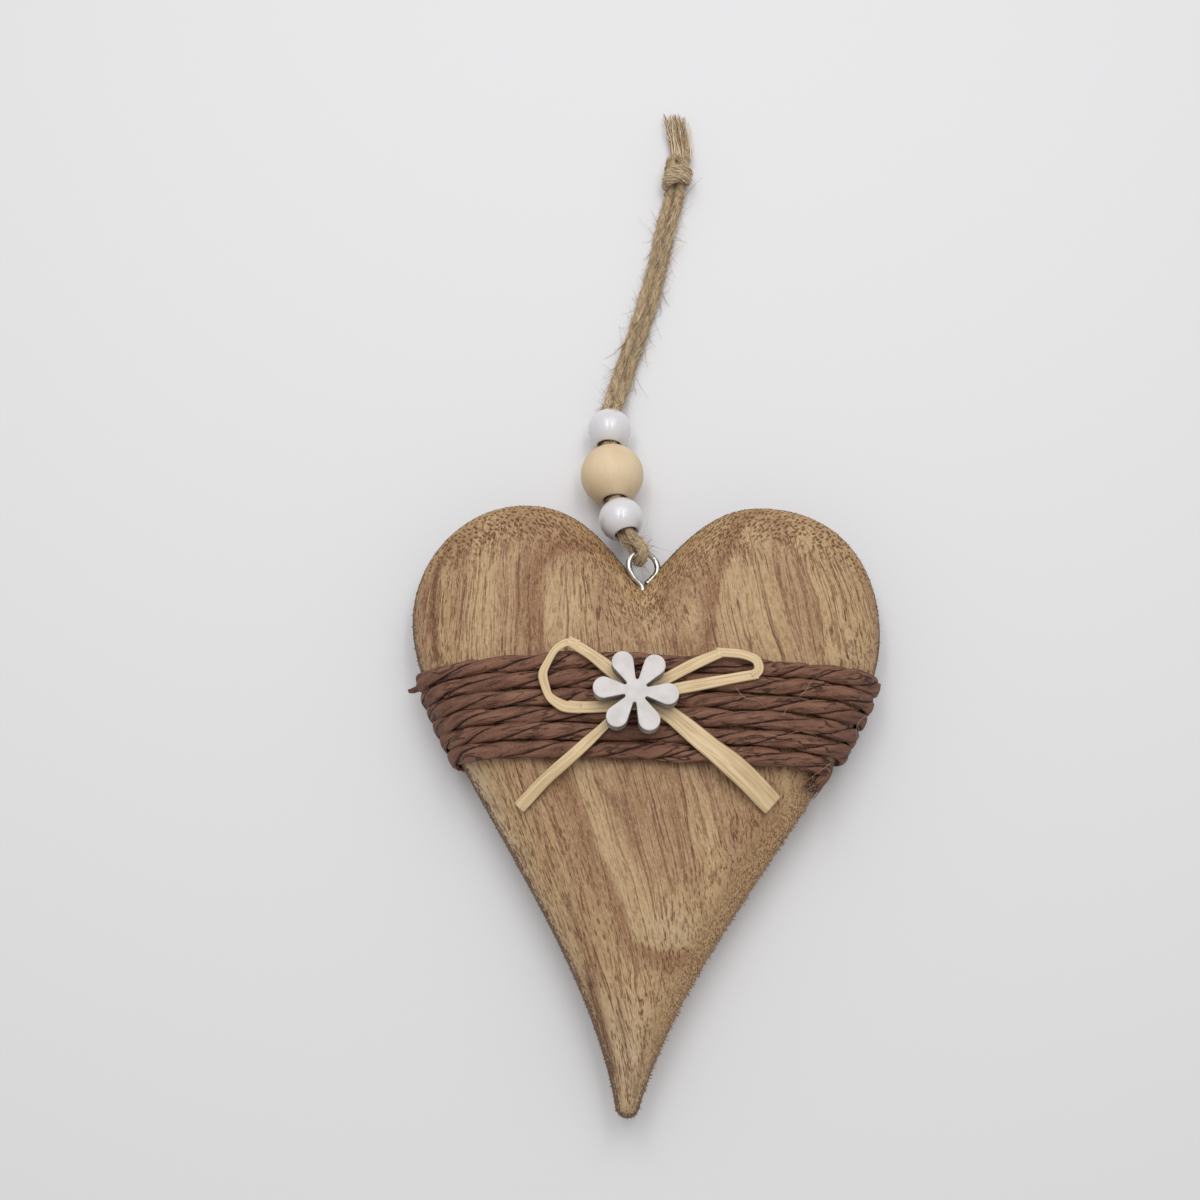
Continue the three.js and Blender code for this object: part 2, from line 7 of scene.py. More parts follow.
import bpy
import numpy as np
from mathutils import Matrix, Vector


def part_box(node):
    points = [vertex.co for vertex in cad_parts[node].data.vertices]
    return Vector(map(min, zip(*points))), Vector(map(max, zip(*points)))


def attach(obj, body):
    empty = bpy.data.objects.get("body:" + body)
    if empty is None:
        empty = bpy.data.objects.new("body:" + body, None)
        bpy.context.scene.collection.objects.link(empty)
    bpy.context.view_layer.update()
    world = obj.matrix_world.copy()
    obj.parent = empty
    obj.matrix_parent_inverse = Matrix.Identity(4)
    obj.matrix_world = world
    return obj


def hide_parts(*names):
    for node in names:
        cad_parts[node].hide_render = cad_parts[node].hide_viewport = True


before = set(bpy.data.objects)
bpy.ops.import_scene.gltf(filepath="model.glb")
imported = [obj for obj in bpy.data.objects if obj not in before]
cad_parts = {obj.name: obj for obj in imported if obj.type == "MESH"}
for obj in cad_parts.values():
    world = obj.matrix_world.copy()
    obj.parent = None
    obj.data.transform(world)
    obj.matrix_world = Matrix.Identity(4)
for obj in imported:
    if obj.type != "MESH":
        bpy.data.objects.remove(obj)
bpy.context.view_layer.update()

# %% [markdown]
# All shapes below are worked out in millimetres in the heart's own frame: its tip is at the origin,
# its axis runs along +Y and its front looks along +Z. One function turns such points into the
# row's metres, so every finished object can stay at the origin, unturned.

# %% Sizes and the heart's own frame
mm = 0.001
heart_height = 134.5
left_reach = 51.8
right_reach = 54.2
cleft_height = heart_height - 19.8
tip_radius = 2.5
back_height = 3.8
front_height = 19.8
dome_width, dome_rise = 17.0, 10.4
rim_width, rim_rise = 5.0, 3.0
shoulder_height = front_height - dome_rise
rim_height = back_height + rim_rise

heart_low = np.array(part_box("heart")[0])
own_origin = heart_low + np.array([left_reach, 0, -back_height]) * mm


def placed(points):
    """Points of the heart's own frame in millimetres, as points of the row's frame in metres."""
    return np.asarray(points, float) * mm + own_origin


print("own origin in the row, mm:", (own_origin / mm).round(2))

# %% [markdown]
# The camera looks down on the heart from below its tip, a little tilted, as a phone held over a
# table does. It is placed by its height, tilt, pan and lean.

# %% Camera
camera_place = np.array([-5.3, 16.73, 327.85])
camera_tilt, camera_pan, camera_lean = np.radians([16.567, -0.703, 1.836])
view_angle = np.radians(44.83)


def camera_matrix():
    """Axes of a camera that looks down, tilted towards +Y, panned towards +X and leaned."""
    forward = np.array([np.sin(camera_pan), np.sin(camera_tilt) * np.cos(camera_pan),
                        -np.cos(camera_tilt) * np.cos(camera_pan)])
    right = np.cross(forward, [0, np.cos(camera_tilt), np.sin(camera_tilt)])
    right /= np.linalg.norm(right)
    up = np.cross(right, forward)
    cosine, sine = np.cos(camera_lean), np.sin(camera_lean)
    turned_right, turned_up = cosine * right + sine * up, cosine * up - sine * right
    matrix = np.eye(4)
    matrix[:3, 0], matrix[:3, 1], matrix[:3, 2] = turned_right, turned_up, -forward
    matrix[:3, 3] = placed(camera_place)
    return Matrix(matrix.tolist())


camera = bpy.data.objects.new("camera", bpy.data.cameras.new("camera"))
bpy.context.scene.collection.objects.link(camera)
camera.data.angle = view_angle
camera.data.sensor_fit = "HORIZONTAL"
camera.data.clip_start = 0.01
camera.matrix_world = camera_matrix()
bpy.context.scene.camera = camera
print("camera at", tuple(round(c, 3) for c in camera.location))

# %% [markdown]
# Every piece is a grid of points. A line is smoothed and walked in even steps, a section is carried
# along it, and the grid closes on itself. These few helpers do that for all pieces.

# %% Lines
seed = 5
chance = np.random.default_rng(seed)


def unit(vectors):
    """Vectors of length one."""
    return vectors / np.maximum(np.linalg.norm(vectors, axis=-1, keepdims=True), 1e-12)


def smooth_line(points, steps):
    """A smooth line through points. Between two of them it is a cubic, and its slope at each is
    half the way between that point's two neighbours."""
    points = np.asarray(points, float)
    wide = np.vstack([2 * points[0] - points[1], points, 2 * points[-1] - points[-2]])
    t = np.linspace(0, 1, steps, endpoint=False)[:, None]
    a, b, c, d = (wide[i:len(wide) - 3 + i][:, None] for i in range(4))
    cubic = 2 * b + (c - a) * t + (2 * a - 5 * b + 4 * c - d) * t ** 2
    cubic += (3 * b - a - 3 * c + d) * t ** 3
    return np.vstack([cubic.reshape(-1, points.shape[1]) / 2, points[-1]])


def lengths_along(line):
    """How far along a line each of its points is."""
    return np.concatenate([[0], np.cumsum(np.linalg.norm(np.diff(line, axis=0), axis=1))])


def walked_evenly(line, count):
    """The same line with a count of points, evenly spaced along it."""
    along = lengths_along(line)
    places = np.linspace(0, along[-1], count)
    return np.stack([np.interp(places, along, column) for column in line.T], axis=1)


def walked(line, step):
    """The same line with points about a step apart."""
    return walked_evenly(line, max(int(round(lengths_along(line)[-1] / step)), 2) + 1)


def softened(line, passes):
    """The same line smoothed: a pass makes each point half itself and a quarter of each neighbour."""
    for _ in range(passes):
        line[1:-1] = (line[:-2] + 2 * line[1:-1] + line[2:]) / 4
    return line


def ramp(value, start, end):
    """A share that goes from 0 where a value is at its start to 1 where it is at its end."""
    return np.clip((value - start) / (end - start), 0, 1)


def at_height(line, height):
    """A flat line as points at one height."""
    return np.column_stack([line, np.full(len(line), height)])


def normals_of(line):
    """The direction square to a closed flat line at each of its points."""
    slope = unit(np.roll(line, -1, axis=0) - np.roll(line, 1, axis=0))
    return np.column_stack([slope[:, 1], -slope[:, 0]])


def axes_along(line, up):
    """Two axes square to a line: the first as near to up as can be, the second beside it."""
    ahead = unit(np.gradient(line, axis=-2))
    first = unit(up - np.sum(up * ahead, axis=-1, keepdims=True) * ahead)
    return first, np.cross(ahead, first)


def carried_up(line, up):
    """An up direction for each point of a line, carried from one to the next with no twist: at
    each step it only loses the part that points along the line."""
    ahead = unit(np.gradient(line, axis=0))
    found = [unit(up - np.dot(up, ahead[0]) * ahead[0])]
    for direction in ahead[1:]:
        found.append(unit(found[-1] - np.dot(found[-1], direction) * direction))
    return np.array(found)


def spokes_of(first, second, sides):
    """Spokes round a line: the first axis times the cosine of an angle and the second times its
    sine, for evenly spaced angles. Gives the spokes and the angles."""
    angle = np.linspace(0, 2 * np.pi, sides, endpoint=False)
    spokes = first[..., None, :] * np.cos(angle)[:, None] + second[..., None, :] * np.sin(angle)[:, None]
    return spokes, angle


# %% Meshes from grids
def grid_faces(rows, columns):
    """Quads over a grid that closes on itself from column to column, and a fan at both ends."""
    index = np.arange(rows * columns).reshape(rows, columns)
    beside = np.roll(index, -1, axis=1)
    quads = np.stack([index[:-1], beside[:-1], beside[1:], index[1:]], axis=-1).reshape(-1, 4)
    start = np.full(columns, rows * columns)
    fans = np.concatenate([np.stack([start, beside[0], index[0]], axis=-1),
                           np.stack([start + 1, index[-1], beside[-1]], axis=-1)])
    return quads, fans


def new_object(name, points, quads, fans, material, values=None, uv=None):
    """A mesh object in the row's frame. Values are point attributes, one number or vector each."""
    mesh = bpy.data.meshes.new(name)
    mesh.from_pydata(placed(points).tolist(), [], quads.tolist() + fans.tolist())
    mesh.polygons.foreach_set("use_smooth", np.ones(len(mesh.polygons), bool))
    for key, value in (values or {}).items():
        kind, field = ("FLOAT", "value") if value.ndim == 1 else ("FLOAT_VECTOR", "vector")
        layer = mesh.attributes.new(key, kind, "POINT")
        layer.data.foreach_set(field, value.astype(np.float32).ravel())
    if uv is not None:
        mesh.uv_layers.new(name="UVMap").data.foreach_set("uv", uv.astype(np.float32).ravel())
    mesh.materials.append(material)
    made = bpy.data.objects.new(name, mesh)
    bpy.context.scene.collection.objects.link(made)
    print(name, "has", len(quads) * 2 + len(fans), "triangles")
    return made


def skin_object(name, grid, material, values=None, around=None, along=None):
    """A closed skin over a grid of rows and columns. Around and along give its UV map."""
    rows, columns = grid.shape[:2]
    quads, fans = grid_faces(rows, columns)
    points = np.vstack([grid.reshape(-1, 3), grid[0].mean(axis=0), grid[-1].mean(axis=0)])
    full = {}
    for key, value in (values or {}).items():
        ends = np.stack([value[0].mean(axis=0), value[-1].mean(axis=0)])
        full[key] = np.concatenate([value.reshape(rows * columns, *value.shape[2:]), ends])
    uv = None
    if around is not None:
        corner = np.stack([around, np.broadcast_to(along[:, None], around.shape)], axis=-1)
        here, beside = corner[:, :-1], corner[:, 1:]
        parts = [np.stack([here[:-1], beside[:-1], beside[1:], here[1:]], axis=2),
                 np.stack([here[0], beside[0], here[0]], axis=1),
                 np.stack([here[-1], here[-1], beside[-1]], axis=1)]
        uv = np.concatenate([part.reshape(-1, 2) for part in parts])
    return new_object(name, points, quads, fans, material, full, uv)


def round_grid(line, up, radius, sides):
    """A round section carried along a line. The radius may differ from place to place."""
    spokes = spokes_of(*axes_along(line, up), sides)[0]
    return line[:, None] + spokes * np.broadcast_to(radius, (len(line), sides))[..., None]


def fibres_object(name, lines, thickness, material, shade, sides=3):
    """Many thin fibres in one mesh: each row of points is one fibre, thinning to its end."""
    count, stations = lines.shape[:2]
    leaning = unit(np.array([0.31, 0.17, 0.93]))
    spokes = spokes_of(*axes_along(lines, np.broadcast_to(leaning, lines.shape)), sides)[0]
    taper = np.linspace(1, 0.35, stations)[None, :] * np.reshape(thickness, (-1, 1)) / 2
    grid = lines[:, :, None] + spokes * taper[:, :, None, None]
    quads, fans = grid_faces(stations, sides)
    size = stations * sides + 2
    ends = np.stack([lines[:, 0], lines[:, -1]], axis=1)
    points = np.concatenate([grid.reshape(count, -1, 3), ends], axis=1).reshape(-1, 3)
    shift = (np.arange(count) * size)[:, None, None]
    shades = np.repeat(np.broadcast_to(shade, count), size)
    return new_object(name, points, (quads[None] + shift).reshape(-1, 4),
                      (fans[None] + shift).reshape(-1, 3), material, {"shade": shades})


def bent_fibres(root, lean, reach, bend, stations):
    """Lines for fibres: each leans out from its root and bends aside by the square of the way."""
    share = np.linspace(0, 1, stations)[:, None]
    return root[:, None] + reach * (lean[:, None] * share + bend * share ** 2)


# %% [markdown]
# A material is a small graph of nodes. This helper adds them one call at a time: a number or a
# colour is set on the node's own socket, and an output of another node is linked to it. It keeps
# the colour made so far, and each further colour is laid over it.

# %% Materials
def srgb(red, green, blue):
    """A colour as seen on a screen, 0 to 255, as the linear values that a shader wants."""
    share = np.array([red, green, blue]) / 255
    linear = np.where(share <= 0.04045, share / 12.92, ((share + 0.055) / 1.055) ** 2.4)
    return (*linear.tolist(), 1.0)


class Recipe:
    """A material under construction."""

    def __init__(self, name, colour=None):
        self.material = bpy.data.materials.new(name)
        self.material.use_nodes = True
        self.tree = self.material.node_tree
        self.surface = self.tree.nodes["Principled BSDF"]
        self.colour = colour

    def feed(self, socket, value):
        """A value goes on the socket itself, and another node's output is linked to it."""
        if isinstance(value, bpy.types.NodeSocket):
            self.tree.links.new(value, socket)
        else:
            socket.default_value = value

    def add(self, kind, inputs=None, **settings):
        node = self.tree.nodes.new("ShaderNode" + kind)
        for key, value in settings.items():
            setattr(node, key, value)
        for key, value in (inputs or {}).items():
            self.feed(node.inputs[key], value)
        return node

    def finish(self, **inputs):
        """Feed the surface: its colour, and roughness and so on."""
        for key, value in {"Base_Color": self.colour, **inputs}.items():
            self.feed(self.surface.inputs[key.replace("_", " ")], value)
        return self.material

    def times(self, first, second, clamp=False):
        return self.add("Math", {0: first, 1: second}, operation="MULTIPLY", use_clamp=clamp).outputs[0]

    def plus(self, first, second):
        return self.add("Math", {0: first, 1: second}, operation="ADD").outputs[0]

    def minus(self, first, second):
        return self.add("Math", {0: first, 1: second}, operation="SUBTRACT").outputs[0]

    def larger(self, first, second):
        return self.add("Math", {0: first, 1: second}, operation="MAXIMUM").outputs[0]

    def between(self, value, low, high, start=0.0, end=1.0):
        """A value carried from one range to another in a soft step."""
        inputs = {"Value": value, "From Min": low, "From Max": high, "To Min": start, "To Max": end}
        return self.add("MapRange", inputs, interpolation_type="SMOOTHSTEP").outputs[0]

    def mix(self, factor, first, second):
        node = self.add("Mix", data_type="RGBA", clamp_factor=True)
        for key, value in (("Factor", factor), ("A", first), ("B", second)):
            self.feed(node.inputs[key], value)
        return node.outputs["Result"]

    def lay(self, colour, value, low, high, amount=1.0):
        """Lay a colour over what is there, in a soft step as a value goes from low to high."""
        self.colour = self.mix(self.between(value, low, high, 0.0, amount), self.colour, colour)

    def stain(self, colour, share, amount, clamp=False):
        """Lay a colour over what is there, as strong as a share times an amount."""
        self.colour = self.mix(self.times(share, amount, clamp), self.colour, colour)

    def place(self):
        """The piece's own coordinates, in metres."""
        return self.add("TexCoord").outputs["Object"]

    def own_map(self):
        """The piece's UV map: once round the piece, and millimetres along it."""
        return self.add("UVMap", uv_map="UVMap").outputs[0]

    def value_of(self, name, output="Fac"):
        """A piece's own attribute."""
        return self.add("Attribute", attribute_name=name).outputs[output]

    def stretched(self, vector, stretch, offset=(0, 0, 0)):
        """A vector whose three parts are scaled, so that a pattern on it is drawn out."""
        return self.add("Mapping", {"Vector": vector, "Scale": stretch, "Location": offset}).outputs[0]

    def noise(self, vector, stretch, detail=2.0, roughness=0.5, distortion=0.0, offset=(0, 0, 0)):
        inputs = {"Vector": self.stretched(vector, stretch, offset), "Scale": 1.0, "Detail": detail,
                  "Roughness": roughness, "Distortion": distortion}
        return self.add("TexNoise", inputs).outputs[0]

    def cells(self, vector, stretch, offset=(0, 0, 0), randomness=1.0, **settings):
        """A cell pattern: the distance to the nearest middle, and a random number for each cell."""
        inputs = {"Vector": self.stretched(vector, stretch, offset), "Scale": 1.0,
                  "Randomness": randomness}
        node = self.add("TexVoronoi", inputs, feature="F1", **settings)
        picked = self.add("SeparateColor", {"Color": node.outputs["Color"]}).outputs[0]
        return node.outputs["Distance"], picked

    def wavered(self, value, noise, amount):
        """A value shifted to and fro by a noise."""
        return self.plus(value, self.times(self.minus(noise, 0.5), amount))

    def thread(self, value, middle, half):
        """Thin crisp lines: 1 where a smooth value passes its middle, 0 from half a width away."""
        below = self.between(value, middle - half, middle - half * 0.25)
        above = self.between(value, middle + half, middle + half * 0.25)
        return self.times(below, above)

    def bump(self, height, strength, distance):
        """A normal from a height, with a distance in millimetres."""
        inputs = {"Height": height, "Strength": strength, "Distance": distance * mm}
        return self.add("Bump", inputs).outputs[0]


# %% [markdown]
# The heart is sawn from a board and sanded: its front is domed at the edges, its sides are short
# and upright, and its back is flat. Its outline is three cubic curves a side and a round tip. The
# surface is a row of closed rings: they start at a hub on the front, spread to the edge, go down
# the side and close in again on the back. The height of each point follows from its distance to
# the edge, so the dome is one formula for the whole heart.

# %% Heart outline
hub = np.array([0, 0.64 * heart_height])


def cubic_curve(corners, steps=60):
    """A cubic curve: its four corners weighed by the powers of t and of 1 - t."""
    t = np.linspace(0, 1, steps)[:, None]
    a, b, c, d = (np.array(corner, float) for corner in corners)
    return (1 - t) ** 3 * a + 3 * t * (1 - t) ** 2 * b + 3 * t * t * (1 - t) * c + t ** 3 * d


def outline_side(sign, reach, height, cleft_angle, cleft_handle, crest, crest_handles, waist,
                 waist_handles, flank, foot_handle):
    """One side from the cleft over the lobe and down to the tip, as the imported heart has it."""
    top = [crest * reach, height]
    widest = [reach, waist * height]
    foot = [tip_radius * np.sin(flank), tip_radius * (1 - np.cos(flank))]
    leave = cleft_handle * reach
    come = foot_handle * height
    curves = [
        [[0, cleft_height],
         [leave * np.cos(cleft_angle), cleft_height + leave * np.sin(cleft_angle)],
         [top[0] - crest_handles[0] * reach, height], top],
        [top, [top[0] + crest_handles[1] * reach, height],
         [reach, widest[1] + waist_handles[0] * height], widest],
        [widest, [reach, widest[1] - waist_handles[1] * height],
         [foot[0] + come * np.cos(flank), foot[1] + come * np.sin(flank)], foot],
    ]
    angle = np.linspace(flank, 0, 12)
    tip = np.stack([tip_radius * np.sin(angle), tip_radius * (1 - np.cos(angle))], axis=1)
    return np.vstack([*[cubic_curve(corners)[:-1] for corners in curves], tip]) * [sign, 1]


right_side = outline_side(1, right_reach, heart_height, 0.82, 0.19, 0.51, [0.25, 0.31],
                          0.782, [0.13, 0.205], 1.3, 0.304)
left_side = outline_side(-1, left_reach, heart_height - 1.1, 0.83, 0.205, 0.513, [0.257, 0.277],
                         0.795, [0.11, 0.193], 1.37, 0.286)
outline = np.vstack([walked(right_side, 0.7)[:-1], walked(left_side, 0.7)[::-1][:-1]])
print("outline of", len(outline), "points")


# %% Heart surface
def distance_to(line, places):
    """Distance from each place to a line of points, and how far it is on the line's left side."""
    start, step = line[:-1], np.diff(line, axis=0)
    squared = np.maximum(np.sum(step ** 2, axis=1), 1e-12)
    distance, side = [], []
    for part in np.array_split(places, len(places) // 4000 + 1):
        gap = part[:, None] - start
        share = np.clip(np.sum(gap * step, axis=2) / squared, 0, 1)
        off = gap - share[..., None] * step
        length = np.linalg.norm(off, axis=2)
        nearest = np.argmin(length, axis=1)
        row = np.arange(len(part))
        cross = step[nearest, 0] * off[row, nearest, 1] - step[nearest, 1] * off[row, nearest, 0]
        distance.append(length[row, nearest])
        side.append(np.sign(cross))
    return np.concatenate(distance), np.concatenate(side)


def depth_inside(x, y):
    """Distance to the edge. The distances to the two sides are joined as the fourth root of the
    sum of their inverse fourth powers, which leaves a soft ridge between them."""
    places = np.stack([x.ravel(), y.ravel()], axis=1)
    left = np.maximum(distance_to(left_side, places)[0], 1e-6)
    right = np.maximum(distance_to(right_side, places)[0], 1e-6)
    return ((left ** -4 + right ** -4) ** -0.25).reshape(x.shape)


def round_over(depth, width):
    """Quarter ellipse: 0 at the edge, 1 from one width inwards."""
    share = 1 - np.minimum(depth / width, 1)
    return np.sqrt(np.maximum(1 - share ** 2, 0))


def front_surface(x, y):
    return shoulder_height + dome_rise * round_over(depth_inside(x, y), dome_width)


spread_rings = 64
dome_rings = 26
edge_row = spread_rings + dome_rings - 1
first_share = 0.015


def outline_ring(distance, share):
    """The outline moved inwards by a distance and then shrunk towards the hub by a share."""
    return hub + (outline + unit(hub - outline) * distance - hub) * share


def curve_inset(degrees, width):
    """How far inside the edge a quarter ellipse is at an angle."""
    return width * (1 - np.cos(np.radians(degrees)))


def heart_rings():
    """Rings of the heart's skin, from the hub on the front to the hub on the back."""
    front = [outline_ring(dome_width, share) for share in np.linspace(first_share, 1, spread_rings)]
    front += [outline_ring(curve_inset(angle, dome_width), 1)
              for angle in np.linspace(90, 0, dome_rings + 1)[1:]]
    back = [outline_ring(curve_inset(angle, rim_width), 1) for angle in np.linspace(0, 90, 9)]
    back += [outline_ring(rim_width, share) for share in np.linspace(1, first_share, 20)[1:]]
    front, back = np.array(front), np.array(back)
    front_heights = front_surface(front[..., 0], front[..., 1])
    back_depth = depth_inside(back[..., 0], back[..., 1])
    back_heights = rim_height - rim_rise * round_over(back_depth, rim_width)
    side = [at_height(outline, z) for z in np.linspace(shoulder_height, rim_height, 5)[1:-1]]
    return np.concatenate([np.dstack([front, front_heights]), side, np.dstack([back, back_heights])])


heart_grid = heart_rings()
print("heart rings:", heart_grid.shape)

# %% [markdown]
# The wood is read from the surface itself. The pores are long thin vessels that run with the
# grain: where the surface cuts across them, at the top of the lobes and on the right flank, they
# show as dots, and elsewhere as dashes. So the pattern lives in three directions of the tree:
# across the grain, along it, and through the board. These are an attribute of the mesh. The grain
# leans to the left going up, and fans out over the lobes. A few growth lines are listed,
# and the attribute "ring" is the distance to the nearest: dark on one side, pale on the other.

# %% Wood attributes
growth_lines = [
    [[-4, 116.5], [-6.9, 118.8], [-9.7, 121], [-12.8, 121.2], [-17.3, 120.3], [-19.9, 118.3], [-22, 115.9],
     [-23, 113.5], [-23.1, 110.3], [-22.6, 104.8], [-22, 100.9], [-21.3, 96.8], [-18, 84]],
    [[28, 134], [25.1, 130.5], [22.2, 127.5], [20, 123.2], [18.5, 118.7], [17.4, 114.9], [16.4, 108.6],
     [15.8, 102.2], [15.4, 98.5], [14.5, 86]],
    [[-18, 84], [-15, 71], [-10.8, 61.9], [-8.4, 54.4], [-4.8, 47.2], [-2.1, 40.4], [0.1, 35],
     [3.9, 33.3], [7.4, 32.8], [10.9, 33.1], [14.2, 33.8], [19, 36]],
]
dark_lines = [
    (0.8, 1.6, [[-43, 124], [-44.1, 120.6], [-45.7, 116.5], [-46.5, 111.6], [-46.4, 105.8], [-45.7, 100.1],
                [-44.9, 94.5]]),
    (1.1, 0.8, [[-7.8, 68], [-7.4, 66.3], [-4.3, 63.6], [-2.1, 60.3], [0, 54.7]]),
    (1.0, 0.6, [[-9.5, 29], [-7.5, 23], [-5.6, 17.5], [-4, 12], [-3, 7]]),
    (1.6, 0.8, [[-11.5, 124], [-7.2, 121.5], [-3.5, 117.6]]),
    (0.7, 0.9, [[-8.4, 26], [-6.3, 20], [-4.6, 14.5], [-3, 9]]),
    (0.6, 0.7, [[-2.5, 22], [-1.2, 16], [0.2, 11], [1, 6]]),
    (0.5, 0.8, [[3.4, 19], [2.9, 14], [2.2, 9], [1.6, 5]]),
    (0.5, 0.8, [[-14, 44], [-11.5, 37], [-9.6, 31], [-8.2, 26]]),
]
# Soft patches: middle, half width, half length along the grain, and how brown or pale they are. The
# strong pale patches on the left flank and over the tip are partly the wood's own colour and partly
# painted highlight, where the dome's slope turns them away from the light.
patches = [
    (-17, 106, 5, 8, -0.7), (22, 108, 5, 12, -0.5), (-6, 56, 3, 16, -0.35), (9.8, 38, 8, 5, -0.45),
    (38, 105, 5, 12, 0.4), (8, 117, 8, 9, 0.45), (-27, 108, 4, 14, 0.35), (-8, 123, 5, 4, 0.5),
    (8, 29, 9, 4.5, 0.5), (-9, 50, 4, 20, 0.45), (4, 60, 7, 16, 0.4), (-35, 104, 5, 16, -0.25),
    (-29, 52, 6, 30, -1.3), (-12, 20, 5, 22, -0.8), (46, 98, 5, 16, -0.7), (0, 10, 8, 14, -0.9),
    (30, 78, 10, 8, 0.15), (10, 98, 5, 2.5, 0.5), (-3.5, 62.5, 2.2, 3, 0.7), (26, 62, 9, 12, 0.1),
    (2, 34, 24, 26, -0.45),
]


def grain_field(points):
    """Across, along and through the grain, in mm. Across is x, scaled so that the grain fans out
    from the middle of the heart, plus a lean to the left that is stronger in the lower half."""
    x, y, z = points[..., 0], points[..., 1], points[..., 2]
    up = y - 86
    fan = 1 + 0.0050 * (np.sqrt(up ** 2 + 64) - 8)
    lean = 0.215 * up - 0.1 * (np.sqrt(up ** 2 + 100) - 10)
    return np.stack([x * fan + lean, y, z], axis=-1)


def wood_values(points):
    """The attributes of the wood for an array of points."""
    flat = points.reshape(-1, 3)[:, :2]
    found = [distance_to(smooth_line(line, 8), flat) for line in growth_lines]
    distance = np.array([part[0] for part in found])
    nearest = np.argmin(distance, axis=0)
    pick = np.arange(len(flat))
    ring = distance[nearest, pick] * np.array([part[1] for part in found])[nearest, pick]
    streak = np.zeros(len(flat))
    for width, strength, line in dark_lines:
        streak += strength * np.exp(-(distance_to(smooth_line(line, 8), flat)[0] / width) ** 2)
    grain = grain_field(points)
    tone_and_painted_light = np.zeros(len(flat))
    for x, y, half_width, half_length, strength in patches:
        middle = grain_field(np.array([x, y, front_height]))
        off = (grain.reshape(-1, 3) - middle) / [half_width, half_length, 1]
        tone_and_painted_light += strength * np.exp(-np.sum(off[:, :2] ** 2, axis=1))
    shape = points.shape[:-1]
    depth = depth_inside(points[..., 0], points[..., 1])
    return {"grain": grain, "ring": np.clip(ring, -9, 9).reshape(shape), "streak": streak.reshape(shape),
            "tone_and_painted_light": tone_and_painted_light.reshape(shape), "depth": depth}


def rim_values(grid):
    """Two numbers that follow the edge: how far along the outline a point is, and how far inwards
    over the surface. And two shares: where the surface faces along the grain, so that the pores
    are cut across and show as dots, and where the right flank is rough."""
    steps = np.linalg.norm(np.diff(grid, axis=0), axis=2)
    walked_down = np.vstack([np.zeros(grid.shape[1]), np.cumsum(steps, axis=0)])
    inwards = walked_down[edge_row] - walked_down
    around = np.broadcast_to(lengths_along(outline), inwards.shape)
    facing = np.abs(unit(np.cross(np.gradient(grid, axis=0), np.gradient(grid, axis=1)))[..., 1])
    up = grid[..., 1]
    lobes = ramp(facing, 0.1, 0.3) * ramp(up, 98, 108)
    flank = (grid[..., 0] > 0) * ramp(up, 76, 66) * ramp(inwards, 12, 5)
    return {"rim": np.stack([around, inwards, 0 * inwards], axis=-1), "dots": lobes + 0.4 * flank,
            "sand": flank * ramp(up, 2, 22)}


heart_values = {**wood_values(heart_grid), **rim_values(heart_grid)}
print("growth lines:", len(growth_lines), "patches:", len(patches))

# %% [markdown]
# Colours from pale straw to reddish brown are mixed by slow noise that is drawn out along the
# grain. Over them lie fine fibre lines, the growth lines, a few crisp veins, and two sizes of pores
# from a cell pattern that is drawn out too. Near the edge the sanded end grain is yellow with rows
# of dots, a ragged dark line runs along the rim, and the right flank is gritty.

